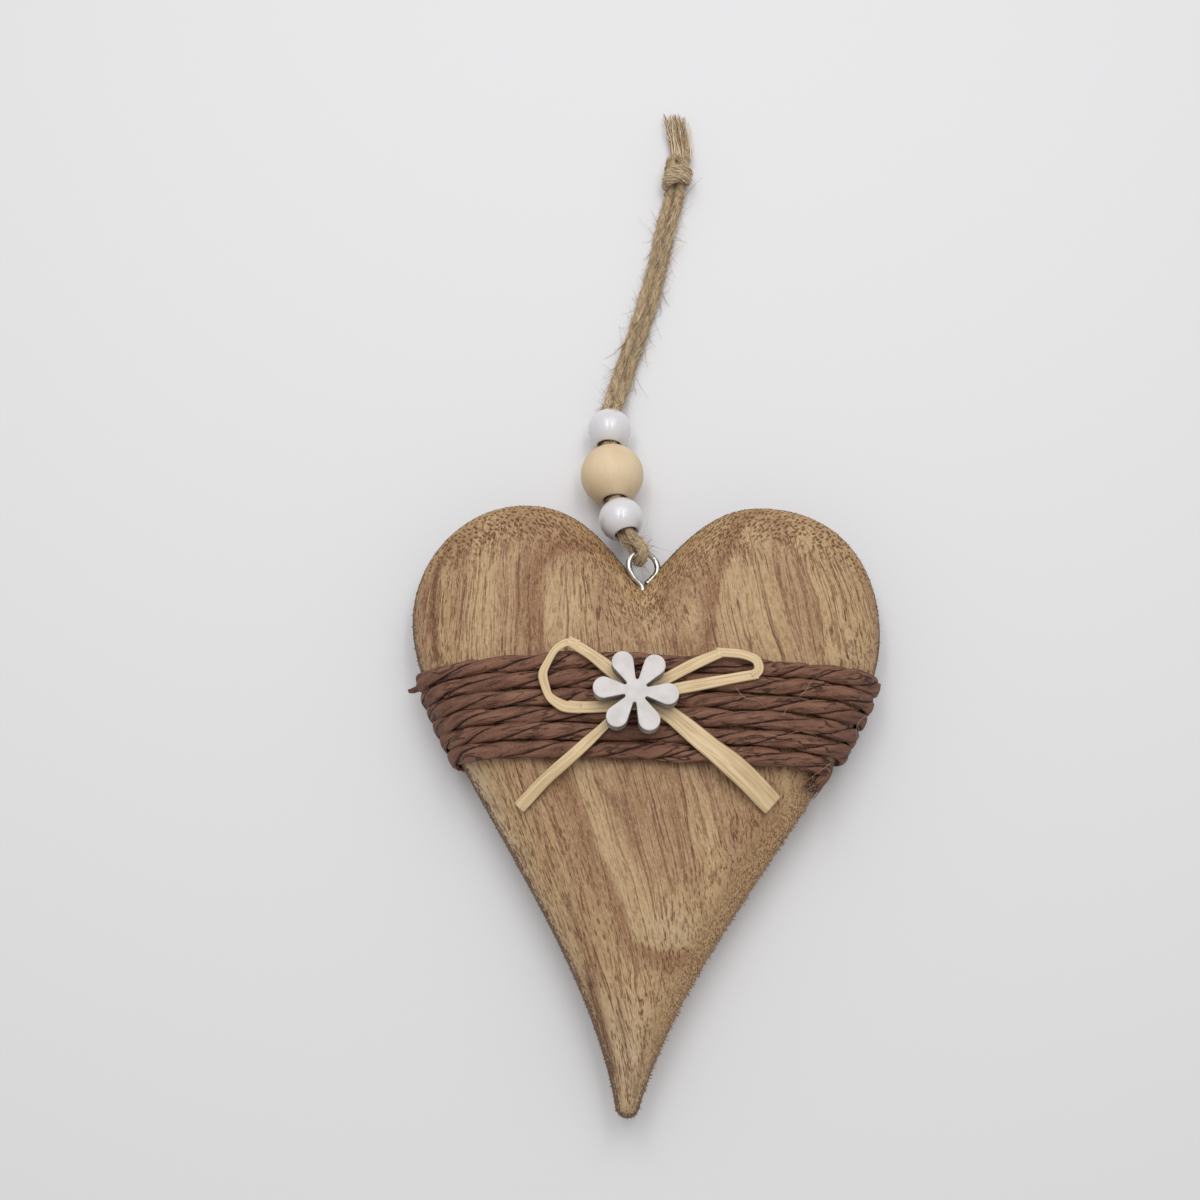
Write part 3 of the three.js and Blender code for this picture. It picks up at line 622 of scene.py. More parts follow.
# %% Wood material
def wood_material():
    pale = srgb(190, 160, 119)
    brown = srgb(146, 107, 76)
    reddish = srgb(122, 80, 52)
    recipe = Recipe("pale_hardwood", pale)
    straight = recipe.value_of("grain", "Vector")
    tone_and_painted_light = recipe.value_of("tone_and_painted_light")
    depth = recipe.value_of("depth")
    dots = recipe.value_of("dots")
    sand = recipe.value_of("sand")
    wander = recipe.times(recipe.noise(straight, (0.12, 0.03, 0.12)), 6.0)
    shift = recipe.add("CombineXYZ", {"X": wander}).outputs[0]
    grain = recipe.add("VectorMath", {0: straight, 1: shift}, operation="ADD").outputs[0]

    slow = recipe.noise(grain, (0.16, 0.012, 0.16))
    bands = recipe.noise(grain, (0.55, 0.014, 0.55), 3.0, 0.6)
    fibres = recipe.noise(grain, (4.2, 0.2, 4.2), 3.0, 0.6)
    lines = recipe.noise(grain, (1.5, 0.022, 1.5), 3.0, 0.55, offset=(5, 2, 9))
    mottle = recipe.noise(straight, (0.9, 0.35, 0.9), 3.0)
    specks = recipe.noise(straight, (2.1, 1.6, 2.1), 3.0, 0.65)

    shade = recipe.plus(recipe.times(slow, 0.9), recipe.times(tone_and_painted_light, 0.55))
    recipe.lay(srgb(171, 137, 102), shade, 0.3, 0.5)
    recipe.lay(brown, shade, 0.45, 0.85)
    # Low values lay a pale greyish tan: the wood's own pale patches, and on the left flank and the tip
    # partly painted highlight.
    recipe.lay(srgb(212, 190, 158), tone_and_painted_light, -0.3, -1.2, 0.75)
    recipe.lay(brown, bands, 0.5, 0.66, 0.3)
    recipe.lay(pale, bands, 0.48, 0.34, 0.25)
    recipe.lay(reddish, lines, 0.53, 0.59, 0.7)
    recipe.lay(reddish, fibres, 0.52, 0.66, 0.3)
    recipe.lay(srgb(208, 181, 142), fibres, 0.48, 0.36, 0.35)
    recipe.lay(brown, mottle, 0.52, 0.7, 0.3)

    growth = recipe.wavered(recipe.value_of("ring"), mottle, 2.4)
    dark_side = recipe.times(recipe.between(growth, -5.5, -0.4), recipe.between(growth, 1.4, -0.3))
    pale_side = recipe.times(recipe.between(growth, 0.0, 1.6), recipe.between(growth, 5.0, 1.0))
    streak = recipe.times(recipe.value_of("streak"), recipe.between(fibres, 0.2, 0.7, 0.5, 1.3))
    veins = recipe.noise(grain, (0.42, 0.016, 0.42), offset=(3, 7, 1))
    vein = recipe.times(recipe.thread(veins, 0.5, 0.018), recipe.between(lines, 0.46, 0.52))
    recipe.stain(srgb(128, 84, 54), dark_side, 0.62)
    recipe.stain(srgb(192, 164, 126), pale_side, 0.22)
    recipe.stain(srgb(104, 66, 42), streak, 0.6, clamp=True)
    recipe.stain(srgb(104, 62, 38), vein, 0.85)
    recipe.lay(brown, specks, 0.52, 0.66, 0.3)
    recipe.lay(srgb(212, 188, 152), specks, 0.48, 0.36, 0.25)
    warm = recipe.between(recipe.plus(depth, recipe.times(mottle, 3.0)), 8.0, 1.5)
    recipe.stain(srgb(186, 152, 102), recipe.times(warm, dots), 0.6)

    def pores(stretch, offset, size, share):
        """Cells drawn out along the grain: dark near their middles, and only a share of them."""
        distance, picked = recipe.cells(grain, stretch, offset)
        near = recipe.between(distance, size, size * 0.6)
        return recipe.times(near, recipe.between(picked, 0.88 - share, 1.12 - share))

    crowd = recipe.plus(recipe.between(bands, 0.35, 0.65, 0.6, 1.0), recipe.times(dark_side, 0.5))
    large = recipe.times(pores((1.5, 0.42, 1.5), (0, 0, 0), 0.36, 0.7), crowd, clamp=True)
    large = recipe.times(large, recipe.between(depth, 16.0, 8.0, 0.5, 0.9))
    small = recipe.times(pores((3.0, 0.4, 3.0), (7, 3, 1), 0.4, 0.45), crowd, clamp=True)
    pore = recipe.larger(large, recipe.times(small, 0.5))
    distance, picked = recipe.cells(recipe.value_of("rim", "Vector"), (0.92, 0.6, 1), randomness=0.85,
                                    voronoi_dimensions="2D")
    cut = recipe.times(recipe.between(distance, 0.38, 0.26), dots)
    cut = recipe.times(cut, recipe.between(picked, 0.1, 0.3))
    pore = recipe.larger(pore, recipe.times(cut, recipe.between(mottle, 0.35, 0.5, 0.5, 0.95)))
    recipe.stain(srgb(92, 54, 32), pore, 0.85)

    ragged = recipe.times(recipe.minus(recipe.noise(straight, (1.6, 1.6, 1.6), 3.0), 0.42), 3.4)
    rim = recipe.between(recipe.minus(depth, ragged), 0.65, 0.35)
    recipe.stain(srgb(84, 56, 36), rim, 0.8)
    grit = recipe.mix(recipe.between(specks, 0.45, 0.55), srgb(126, 86, 54), srgb(202, 168, 124))
    recipe.stain(grit, sand, 0.85)

    height = recipe.minus(recipe.times(fibres, 0.35), pore)
    height = recipe.plus(height, recipe.times(recipe.times(specks, sand), 2.5))
    return recipe.finish(Roughness=recipe.between(pore, 0.0, 1.0, 0.62, 0.85), Specular_IOR_Level=0.35,
                         Normal=recipe.bump(height, 0.5, 0.25))


wood = wood_material()
heart = skin_object("heart_wood", heart_grid, wood, heart_values)
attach(heart, "root")
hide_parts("heart")

# %% [markdown]
# Sawing leaves the edge rough. Short fibres stand out of it all round, dark on the lobes and
# longer and sandy on the right flank.

# %% Fibres on the edge
def fibre_material(name, first_colour, second_colour):
    """One material for a bundle of fibres, each with a shade of its own between two colours."""
    recipe = Recipe(name)
    recipe.colour = recipe.mix(recipe.value_of("shade"), first_colour, second_colour)
    return recipe.finish(Roughness=0.8)


edge_count = 2400
flank_top = 66
pick = chance.integers(0, len(outline), edge_count)
outwards = normals_of(outline)[pick]
outwards *= np.sign(np.sum(outwards * (outline[pick] - hub), axis=1))[:, None]
on_flank = (outline[pick, 0] > 0) & (outline[pick, 1] < flank_top)
heights = chance.uniform(rim_height, shoulder_height + 3.0, edge_count)
inset = dome_width * (1 - np.sqrt(1 - ramp(heights, shoulder_height, front_height) ** 2)) + 0.15
root = np.column_stack([outline[pick] - outwards * inset[:, None], heights])
aside = outwards + chance.normal(0, 0.5, (edge_count, 2))
lean = unit(np.column_stack([aside, chance.normal(0.1, 0.5, edge_count)]))
reach = np.where(on_flank, chance.uniform(0.3, 0.8, edge_count), chance.uniform(0.15, 0.4, edge_count))
bend = chance.normal(0, 0.25, (edge_count, 1, 3))
edge_lines = bent_fibres(root, lean, reach[:, None, None], bend, 3)
edge_fibres = fibre_material("edge_fibres", srgb(92, 62, 38), srgb(186, 148, 98))
edge_shade = np.where(on_flank, chance.uniform(0.3, 1, edge_count), chance.uniform(0, 0.5, edge_count))
edge_thickness = chance.uniform(0.16, 0.34, edge_count)
edge_fuzz = fibres_object("edge_fuzz", edge_lines, edge_thickness, edge_fibres, edge_shade)
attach(edge_fuzz, "root")

# %% [markdown]
# The wrap is a paper cord: two plies of creased brown paper, twisted together and wound round the
# heart six times. A path runs over the front and behind, always at the same height over the wood,
# and a round section with a groove on both sides, where the plies meet, turns as it goes along.
# The cosine of the turn is kept as an attribute: it passes zero in the valley between the plies,
# where the material paints a thin dark line of shade.

# %% Wrap path
wrap_diameter = 3.4
wrap_turns = 6
wrap_space = 0.56
wrap_snug = 0.25
wrap_offset = wrap_diameter / 2 + 0.4
edge_squash = 0.42
edge_press = {1: 0.84, -1: 0.93}
band_middle = 84.3
left_drop = 2.1
right_drop = 0.9
wrap_step = 0.64
# The cut end of the last turn: places across the heart and how far each lies below the turn.
nub_places = np.array([[-2.6, -0.9, -0.8], [-1.9, -0.9, -0.7], [-1, -0.6, -0.5]])
end_places = np.array([[0.9, 0], [0.945, -0.4], [0.96, -1.7], [0.945, -3.1], [0.915, -4.2]])


def edge_at(side, y):
    """Where one side of the outline crosses a height, below the lobe's crest."""
    widest = np.argmax(np.abs(side[:, 0]))
    lower = side[widest:][::-1]
    upper = side[:widest + 1][::-1]
    low = np.interp(y, lower[:, 1], lower[:, 0])
    high = np.interp(y, upper[:, 1], upper[:, 0])
    return np.where(y <= side[widest, 1], low, high)


def over_surface(place, y, facing):
    """A point over the wood, square to the surface, that direction, and how far the cord is
    pressed flat there. The place is -1 at the left edge and 1 at the right edge."""
    edge = np.where(place < 0, edge_at(left_side, y), edge_at(right_side, y))
    x = np.abs(place) * edge
    width, rise = (dome_width, dome_rise) if facing > 0 else (rim_width, rim_rise)
    nudge = 0.3
    inner = x - np.sign(edge) * nudge
    slope_x = (depth_inside(inner + nudge / 2, y) - depth_inside(inner - nudge / 2, y)) / nudge
    slope_y = (depth_inside(inner, y + nudge / 2) - depth_inside(inner, y - nudge / 2)) / nudge
    depth = np.where(np.abs(place) >= 1, 0, depth_inside(x, y))
    share = 1 - np.minimum(depth / width, 1)
    steepness = rise * share / (width * np.sqrt(np.maximum(1 - share ** 2, 1e-9)))
    upright = np.full(x.shape, float(facing))
    normal = unit(np.stack([-slope_x * steepness, -slope_y * steepness, upright], axis=1))
    height = (shoulder_height if facing > 0 else rim_height) + facing * rise * round_over(depth, width)
    pressed = ramp(np.abs(place), edge_press[facing], 1)
    squash = 1 - edge_squash * pressed ** 2 * (3 - 2 * pressed)
    points = np.stack([x, y, height], axis=1) + normal * wrap_offset * squash[:, None]
    return np.hstack([points, normal, squash[:, None]])


def turn_on_front(turn, place):
    """Height along the heart of one turn: even in the middle and closer at both edges."""
    pitch = wrap_diameter + wrap_space
    count = (wrap_turns - 1) / 2 - turn
    middle = band_middle + count * pitch
    left = band_middle - left_drop + count * (pitch - 1.35 * wrap_space)
    right = band_middle - right_drop + count * (pitch - 0.5 * wrap_space)
    ends = np.where(place < 0, left, right)
    return middle + (ends - middle) * np.abs(place) ** 1.7


def wrap_path():
    """The whole path over the front and behind, turn by turn: places, outward directions and how
    far the cord is pressed flat."""
    share = np.sin(np.linspace(-1, 1, 140) * np.pi / 2)
    rows = []
    for turn in range(wrap_turns):
        last = turn == wrap_turns - 1
        places = np.concatenate([share[share < end_places[0][0]], end_places[:, 0]]) if last else share
        heights = turn_on_front(turn, places)
        heights[len(heights) - len(end_places):] += end_places[:, 1] * last
        rows.append(over_surface(places, heights, 1))
        if last:
            break
        start = turn_on_front(turn, np.array(1.0))
        end = turn_on_front(turn + 1, np.array(-1.0))
        back = over_surface(-share, start + (end - start) * (1 + share) / 2, -1)
        flat_part = ramp(np.abs(share), 0.95, 0.9)
        carries = ramp(np.abs(share), 0.5, 0.7) if turn in (0, wrap_turns - 2) else 0
        back[:, 2] += wrap_snug * flat_part * (1 - carries)
        rows.append(back)
    start = rows[0][0] + np.hstack([nub_places, np.zeros((len(nub_places), 4))])
    return np.vstack([start, *rows])


both = wrap_path()
both = both[np.concatenate([[True], np.linalg.norm(np.diff(both[:, :3], axis=0), axis=1) > 1e-6])]
along = lengths_along(both[:, :3])
places = np.arange(0, along[-1], wrap_step)
both = softened(np.stack([np.interp(places, along, column) for column in both.T], axis=1), 3)
wrap_line, wrap_up, wrap_squash = both[:, :3], unit(both[:, 3:6]), both[:, 6:]
print("wrap is", round(along[-1]), "mm long")


# %% Wrap surface
def slow_noise(places, length, seed_value, amount=1.0):
    """Smooth random numbers along a line: random values a length apart, joined by soft steps."""
    maker = np.random.default_rng(seed_value)
    knots = maker.uniform(-1, 1, int(places.max() / length) + 3)
    cell = places / length
    index = np.floor(cell).astype(int)
    share = cell - index
    soft = share * share * (3 - 2 * share)
    return amount * (knots[index] * (1 - soft) + knots[index + 1] * soft)


def plied_radius(turned, size, depth, sharpness):
    """Radius of a round cord with a groove on each side, where its two plies meet. The groove is
    a power of the sine, so that it is narrow."""
    return size * (1 - depth * np.abs(np.sin(turned)) ** sharpness)


wrap_sides = 44
wrap_plump = 1.22
wrap_pitch = 24.0
wrap_groove = 0.28
# Creases of a ply: how many there are round it, their depth, the length over which they change,
# and a seed.
wrap_creases = ((4, 0.22, 8.0, 21), (9, 0.17, 4.0, 22), (15, 0.1, 2.5, 23))
station = lengths_along(wrap_line)
first, second = axes_along(wrap_line, wrap_up)
sway = slow_noise(station, 8.0, 31, 0.2)[:, None] * second
sway = sway - slow_noise(station, 11.0, 32, 0.1)[:, None] * first
wrap_line = wrap_line + sway * (wrap_line[:, 2:] > shoulder_height)
# The section starts at the side that faces the wood, so that the seam of its UV map is hidden.
spokes, angle = spokes_of(-first * wrap_squash, -wrap_plump * second, wrap_sides)
angle = angle + np.pi
twist = -2 * np.pi * station / wrap_pitch + slow_noise(station, 17.0, 11, 1.3)
turned = angle[None] - twist[:, None]
folded = angle[None] - 0.4 * twist[:, None]
size = wrap_diameter / 2 * (1.04 + slow_noise(station, 5.0, 12, 0.1))[:, None]
size = size * np.clip(station / 5, 0.4, 1)[:, None]
radius = plied_radius(turned, size, wrap_groove, 14)
for ridges, amount, length, seed_value in wrap_creases:
    phase = slow_noise(station, length, seed_value, 3.0)[:, None]
    strength = (0.6 + slow_noise(station, length, seed_value + 10, 0.4))[:, None]
    radius = radius - amount * strength * np.abs(np.sin(ridges * folded / 2 + phase)) ** 0.7
wrap_grid = wrap_line[:, None] + spokes * radius[..., None]
wrap_around = np.concatenate([folded, folded[:, :1] + 2 * np.pi], axis=1) / (2 * np.pi)

# %% [markdown]
# The paper is dull brown with a slight sheen. Fine folds run along each ply, so the noise is drawn
# out along the cord's own UV map, which turns part of the way with the plies. Painted highlight and
# painted shade lie on the folds, the wrinkles and the valley between the plies.

# %% Paper cord material
def paper_material():
    recipe = Recipe("twisted_paper", srgb(108, 73, 57))
    uv = recipe.own_map()
    folds = recipe.noise(uv, (11, 0.17, 1), 4.0, 0.6, 0.5)
    patch = recipe.noise(uv, (2.0, 0.09, 1))
    wrinkles = recipe.noise(uv, (4.5, 0.1, 1), offset=(3, 1, 0))
    specks = recipe.noise(recipe.place(), (1800, 3000, 2400), 3.0, 0.6)
    crease = recipe.thread(recipe.wavered(recipe.value_of("crease"), folds, 0.7), 0.0, 0.17)
    wrinkle = recipe.times(recipe.thread(wrinkles, 0.5, 0.03), recipe.between(patch, 0.46, 0.58))
    recipe.lay(srgb(131, 92, 73), patch, 0.3, 0.7)
    recipe.lay(srgb(152, 118, 98), specks, 0.5, 0.64, 0.3)
    # The folds are painted lighter where they rise and darker where they sink: painted highlight and
    # painted shade.
    recipe.lay(srgb(146, 106, 86), folds, 0.52, 0.66, 0.55)
    recipe.lay(srgb(66, 41, 32), folds, 0.47, 0.36, 0.7)
    # Painted shade: a thin dark line in the valley between the two plies.
    recipe.stain(srgb(40, 22, 18), crease, 0.9)
    # Painted shade: thin dark lines along the wrinkles, which are also grooves in the bump.
    recipe.stain(srgb(50, 28, 22), wrinkle, 0.7)
    height = recipe.minus(folds, recipe.plus(crease, wrinkle))
    return recipe.finish(Roughness=0.72, Specular_IOR_Level=0.3, Normal=recipe.bump(height, 0.9, 0.5))


paper = paper_material()
wrap = skin_object("paper_wrap", wrap_grid, paper, {"crease": np.cos(turned)}, wrap_around, station)
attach(wrap, "root")
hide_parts("wrap_cord")

frayed_count = 60
frayed_lean = unit(unit(wrap_line[-1] - wrap_line[-5]) + chance.normal(0, 0.45, (frayed_count, 3)))
frayed_root = wrap_line[-2] + chance.normal(0, 0.55, (frayed_count, 3))
frayed_bend = chance.normal(0, 0.25, (frayed_count, 1, 3))
frayed_reach = chance.uniform(1.0, 2.8, (frayed_count, 1, 1))
frayed_lines = bent_fibres(frayed_root, frayed_lean, frayed_reach, frayed_bend, 4)
paper_fibres = fibre_material("paper_fibres", srgb(92, 62, 50), srgb(150, 116, 98))
frayed_thickness = chance.uniform(0.2, 0.5, frayed_count)
frayed_shade = chance.uniform(0, 1, frayed_count)
wrap_end = fibres_object("frayed_wrap_end", frayed_lines, frayed_thickness, paper_fibres, frayed_shade)
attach(wrap_end, "root")

# %% [markdown]
# Hot glue left a few thin strings on the cord and on the wood. Each is a short list of places.

# %% Glue strings
glue_lines = [
    [[34.1, 87, 23.9], [35.5, 88.4, 24.2], [36.6, 90.4, 24.1], [38.6, 92, 23.8]],
    [[30.7, 82.8, 23.9], [31.4, 84.4, 24.1], [32.6, 85.2, 23.8]],
    [[49.2, 84.5, 18], [47.5, 82.9, 20], [46.8, 81.1, 20.4], [47, 79, 20]],
    [[41.4, 73.7, 19.5], [38.5, 71.5, 20.4], [36, 69.6, 20.6], [33.8, 68.8, 20.2]],
    [[20.5, 88.6, 23.8], [22.4, 86.4, 24.2], [25.2, 85.8, 24.2], [27.2, 84.1, 23.8]],
    [[26, 79, 23.8], [30, 78.2, 24.2], [34.5, 79.6, 24.1], [38, 78.6, 23.6]],
]
glue_thickness = 0.12
glue = Recipe("dried_glue", srgb(166, 138, 116)).finish(Roughness=0.3)
glue_grid = np.array([walked_evenly(smooth_line(line, 8), 14) for line in glue_lines])
glue_strings = fibres_object("glue_strings", glue_grid, glue_thickness, glue, 0.5, 5)
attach(glue_strings, "root")

# %% [markdown]
# The bow is two loops and two tails of raffia, a flat strip of palm leaf with fine lengthwise
# grooves. Each limb is a strip carried along a short list of places, and the outer limb of a loop
# is folded from place to place. The grooves are in the shape of the section, so they catch the
# light.

# %% Raffia strips
wrap_top = front_height + 0.4 + wrap_diameter
raffia_width = 2.7
raffia_thickness = 0.7
loop_thickness = 0.45
tail_thickness = 0.5
tail_shape = np.array([0.55, 0.9, 1.08, 1.1])
strip_step = 0.35
strip_passes = 14
raffia_height = wrap_top + 0.3 + raffia_thickness / 2
flower_centre = np.array([-0.9, band_middle + 1.5])
bow_span = 47.6


def ribbon_grid(points, widths, thickness, seed_value, folded=False):
    """A thin strip along points: its section is a flat oval whose upper side has grooves. A folded
    strip runs straight from point to point, with small round corners, as stiff leaf does."""
    line = np.array(points, float) if folded else smooth_line(points, 10)
    line = softened(walked(line, strip_step), strip_passes)
    first, second = axes_along(line, np.broadcast_to([0.0, 0.0, 1.0], line.shape))
    place = np.linspace(0, len(widths) - 1, len(line))
    half = np.interp(place, np.arange(len(widths)), widths)[:, None] / 2
    half = half * (1 + slow_noise(lengths_along(line), 5.0, seed_value, 0.06))[:, None]
    across = np.linspace(-1, 1, 15)
    maker = np.random.default_rng(seed_value)
    grooves = sum(maker.uniform(0.4, 1) * np.cos(k * across * 2.2 + maker.uniform(0, 6))
                  for k in (2, 5, 9))
    edge = np.sqrt(np.maximum(1 - across ** 6, 0))
    upper = thickness / 2 * edge * (1 + 0.16 * grooves)
    lower = -thickness / 2 * edge * 0.7
    offsets = np.concatenate([across, across[::-1][1:-1]])
    heights = np.concatenate([upper, lower[::-1][1:-1]])
    side = -second[:, None] * offsets[None, :, None] * half[..., None]
    grid = line[:, None] + side + first[:, None] * heights[None, :, None]
    around = np.concatenate([offsets, [offsets[0]]]) * 0.5 + 0.5
    return grid, np.broadcast_to(around, (len(line), len(around))), lengths_along(line)


def bow_point(across, along_bow, lift):
    """A place of the bow in shares of its span from the flower, lifted in strip thicknesses."""
    return [flower_centre[0] + across * bow_span, flower_centre[1] + along_bow * bow_span,
            raffia_height + lift * raffia_thickness]


bow_limbs = {
    "left_upper": ([1, 1.05, 0.85], [[0.02, -0.01, 1], [-0.1, 0.103, 1], [-0.2, 0.18, 1],
                   [-0.315, 0.248, 1]]),
    "left_side": ([0.75, 0.6, 0.6, 0.78, 0.62, 0.9, 0.95], [[-0.26, 0.228, 1], [-0.315, 0.243, 1],
                  [-0.37, 0.205, 0.9], [-0.425, 0.09, 0.6], [-0.39, -0.015, 0.3], [-0.32, -0.058, 0.1],
                  [-0.24, -0.06, 0]]),
    "left_lower": ([0.95, 1], [[-0.3, -0.055, 0], [-0.2, -0.055, 0], [0.02, -0.03, 0]]),
    "right_upper": ([1, 1, 0.8], [[-0.02, 0.01, 1], [0.12, 0.075, 1], [0.25, 0.15, 1], [0.385, 0.215, 1]]),
    "right_side": ([0.8, 0.75, 0.8], [[0.36, 0.215, 1], [0.47, 0.212, 0.9], [0.545, 0.19, 0.6],
                   [0.56, 0.135, 0.4], [0.52, 0.112, 0.2]]),
    "right_lower": ([0.8, 0.95, 1], [[0.55, 0.122, 0.2], [0.4, 0.09, 0], [0.2, 0.045, 0], [-0.02, 0, 0]]),
}
bow_tails = {
    "left_tail": (2.5, [[0.01, 0], [-0.06, -0.06], [-0.14, -0.145], [-0.265, -0.27], [-0.39, -0.38],
                        [-0.505, -0.5]]),
    "right_tail": (4.6, [[0, 0], [0.06, -0.03], [0.155, -0.075], [0.315, -0.2], [0.475, -0.32],
                         [0.63, -0.45]]),
}


def tail_points(places):
    """A tail runs level over the wrap and slopes down beyond its last turn to the wood."""
    band_edge = turn_on_front(wrap_turns - 1, np.array(0.0)) - wrap_diameter / 2 - 0.3
    points = np.array([bow_point(across, along_bow, 0) for across, along_bow in places])
    end = points[-1]
    low = front_surface(end[0:1], end[1:2])[0] + raffia_thickness + 0.6
    points[:, 2] += min(low - raffia_height, 0) * ramp(points[:, 1], band_edge, end[1])
    return points


# %% Raffia material
def raffia_material():
    recipe = Recipe("raffia", srgb(226, 202, 160))
    uv = recipe.own_map()
    stripes = recipe.noise(uv, (5, 0.03, 1), 3.0, 0.6)
    fine = recipe.noise(uv, (18, 0.12, 1), 3.0)
    patch = recipe.noise(uv, (1.2, 0.12, 1), 1.0)
    recipe.lay(srgb(205, 175, 132), stripes, 0.42, 0.6)
    recipe.lay(srgb(164, 130, 88), fine, 0.52, 0.66, 0.5)
    recipe.lay(srgb(188, 160, 108), patch, 0.5, 0.7, 0.35)
    grooves = recipe.plus(stripes, recipe.times(fine, 0.4))
    return recipe.finish(Roughness=0.5, Normal=recipe.bump(grooves, 0.5, 0.25))


raffia = raffia_material()
strips = [("bow_" + limb, [bow_point(*place) for place in places], np.array(widths) * raffia_width,
           loop_thickness, 40 + number, "side" in limb)
          for number, (limb, (widths, places)) in enumerate(bow_limbs.items())]
strips += [("bow_" + limb, tail_points(places), tail_shape * width, tail_thickness, 60 + number)
           for number, (limb, (width, places)) in enumerate(bow_tails.items())]
bow_pieces = []
for name, *strip in strips:
    grid, around, along = ribbon_grid(*strip)
    bow_pieces.append(skin_object(name, grid, raffia, None, around, along))
for piece in bow_pieces:
    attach(piece, "root")
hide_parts("raffia_bow")

# %% [markdown]
# The flower is cut out of thin board by a laser and painted white. Its outline is six round
# petals and six slots with round ends, and its upper edge is a little rounded. The walls are
# greyer than the face, so the height below the face is an attribute.

# %% Flower
flower_reach = 9.1
petal_width = 4.6
flower_thickness = 4.2
flower_slot = 0.75
flower_rounding = 0.22
flower_base = wrap_top + 0.3 + 1.8 + 0.3
flower_turn = np.radians(-4.1)


def flower_outline():
    """Arcs round each petal's end and, the other way, round each slot's end, in turn."""
    parts = []
    cap = petal_width / 2
    for petal in range(6):
        middle = flower_turn + petal * np.pi / 3
        swing = np.linspace(middle - np.pi / 2 - 0.3, middle + np.pi / 2 + 0.3, 26)
        centre = (flower_reach - cap) * np.array([np.cos(middle), np.sin(middle)])
        parts.append(centre + cap * np.stack([np.cos(swing), np.sin(swing)], axis=1))
        slot = middle + np.pi / 6
        swing = np.linspace(slot - np.pi / 2, slot - 3 * np.pi / 2, 9)
        centre = 0.31 * flower_reach * np.array([np.cos(slot), np.sin(slot)])
        parts.append(centre + flower_slot / 2 * np.stack([np.cos(swing), np.sin(swing)], axis=1))
    closed = np.vstack([*parts, parts[0][:1]])
    return walked(closed, 0.25)[:-1]


petal_line = flower_outline()
petal_out = normals_of(petal_line)
# Each ring of the flower: its line, its height, and how much it belongs to the wall.
rings = [((petal_line - flower_rounding * petal_out) * share, flower_thickness, 0)
         for share in np.linspace(0.06, 0.94, 9)]
for turn in np.radians(np.linspace(0, 90, 6)):
    inset = flower_rounding * (1 - np.sin(turn))
    drop = flower_rounding * (1 - np.cos(turn))
    rings.append((petal_line - inset * petal_out, flower_thickness - drop, 0.6 * turn / np.pi))
for height in np.linspace(0.9, 0, 8) * (flower_thickness - 0.3):
    rings.append((petal_line, height, 1 - 0.3 * height / flower_thickness))
rings += [(petal_line * share, 0, 1) for share in (0.9, 0.5, 0.1)]
flower_rows = np.array([at_height(line, height) for line, height, wall in rings])
flower_walls = np.array([wall for line, height, wall in rings])
flower_grid = flower_rows[:, ::-1] + [*flower_centre, flower_base]
flower_walls = np.broadcast_to(flower_walls[:, None], flower_grid.shape[:2])


def paint_material():
    recipe = Recipe("white_paint", srgb(219, 214, 211))
    place = recipe.place()
    blotch = recipe.noise(place, (420, 420, 420), 3.0)
    fine = recipe.noise(place, (3200, 3200, 3200), 3.0)
    recipe.lay(srgb(206, 201, 199), blotch, 0.35, 0.7)
    rough_wall = recipe.mix(recipe.between(blotch, 0.35, 0.65), srgb(168, 163, 158), srgb(128, 122, 118))
    recipe.lay(rough_wall, recipe.value_of("wall"), 0.2, 0.5)
    height = recipe.plus(blotch, recipe.times(fine, 0.5))
    return recipe.finish(Roughness=0.62, Normal=recipe.bump(height, 0.25, 0.12))


flower = skin_object("painted_flower", flower_grid, paint_material(), {"wall": flower_walls})
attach(flower, "root")
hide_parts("flower")

# %% [markdown]
# The screw eye is one bent nickel wire. Its points are in shares of the ring's radius, as a smith
# would bend it: up out of the wood, round the ring, and back beside its own shank.

# %% Screw eye
eye_wire = 1.4
eye_radius = 3.5
eye_twist = np.radians(20)
shank_length = 9.0
eye_height = back_height + 0.57 * (front_height - back_height)
eye_centre = np.array([0.2, cleft_height + 1.11 * eye_radius, eye_height])
neck_end = -0.2 + (eye_wire + 0.25) / eye_radius
eye_shares = [
    [0, -1.55 - shank_length / eye_radius], [0, -1.55 - 0.4 * shank_length / eye_radius],
    [0, -1.55], [-0.08, -1.3], [-0.3, -1.06], [-0.63, -0.78], [-0.92, -0.35],
    [-1, 0.08], [-0.83, 0.56], [-0.46, 0.89], [0, 1], [0.46, 0.89], [0.83, 0.56],
    [1, 0.08], [0.92, -0.35], [0.6, -0.76], [neck_end, -1.12],
]
cosine, sine = np.cos(eye_twist), np.sin(eye_twist)
eye_points = np.array([[x * cosine, y, -x * sine] for x, y in eye_shares]) * eye_radius + eye_centre
eye_line = walked(smooth_line(eye_points, 12), 0.25)
eye_up = np.array([sine, 0, cosine])


def nickel_material():
    recipe = Recipe("nickel")
    scuffs = recipe.noise(recipe.place(), (900, 900, 900), 3.0)
    recipe.colour = recipe.mix(scuffs, srgb(222, 220, 216), srgb(196, 194, 190))
    return recipe.finish(Metallic=1.0, Roughness=recipe.between(scuffs, 0.3, 0.8, 0.12, 0.28))


eye = skin_object("nickel_eye", round_grid(eye_line, eye_up, eye_wire / 2, 20), nickel_material())
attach(eye, "root")
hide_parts("screw_eye")

# %% [markdown]
# The beads are turned: a ball with a bore whose edges are rounded. The white ones are lacquered
# and glossy, the middle one is bare wood. Each profile is an arc, a small rounding and the bore,
# spun about the bead's own axis.

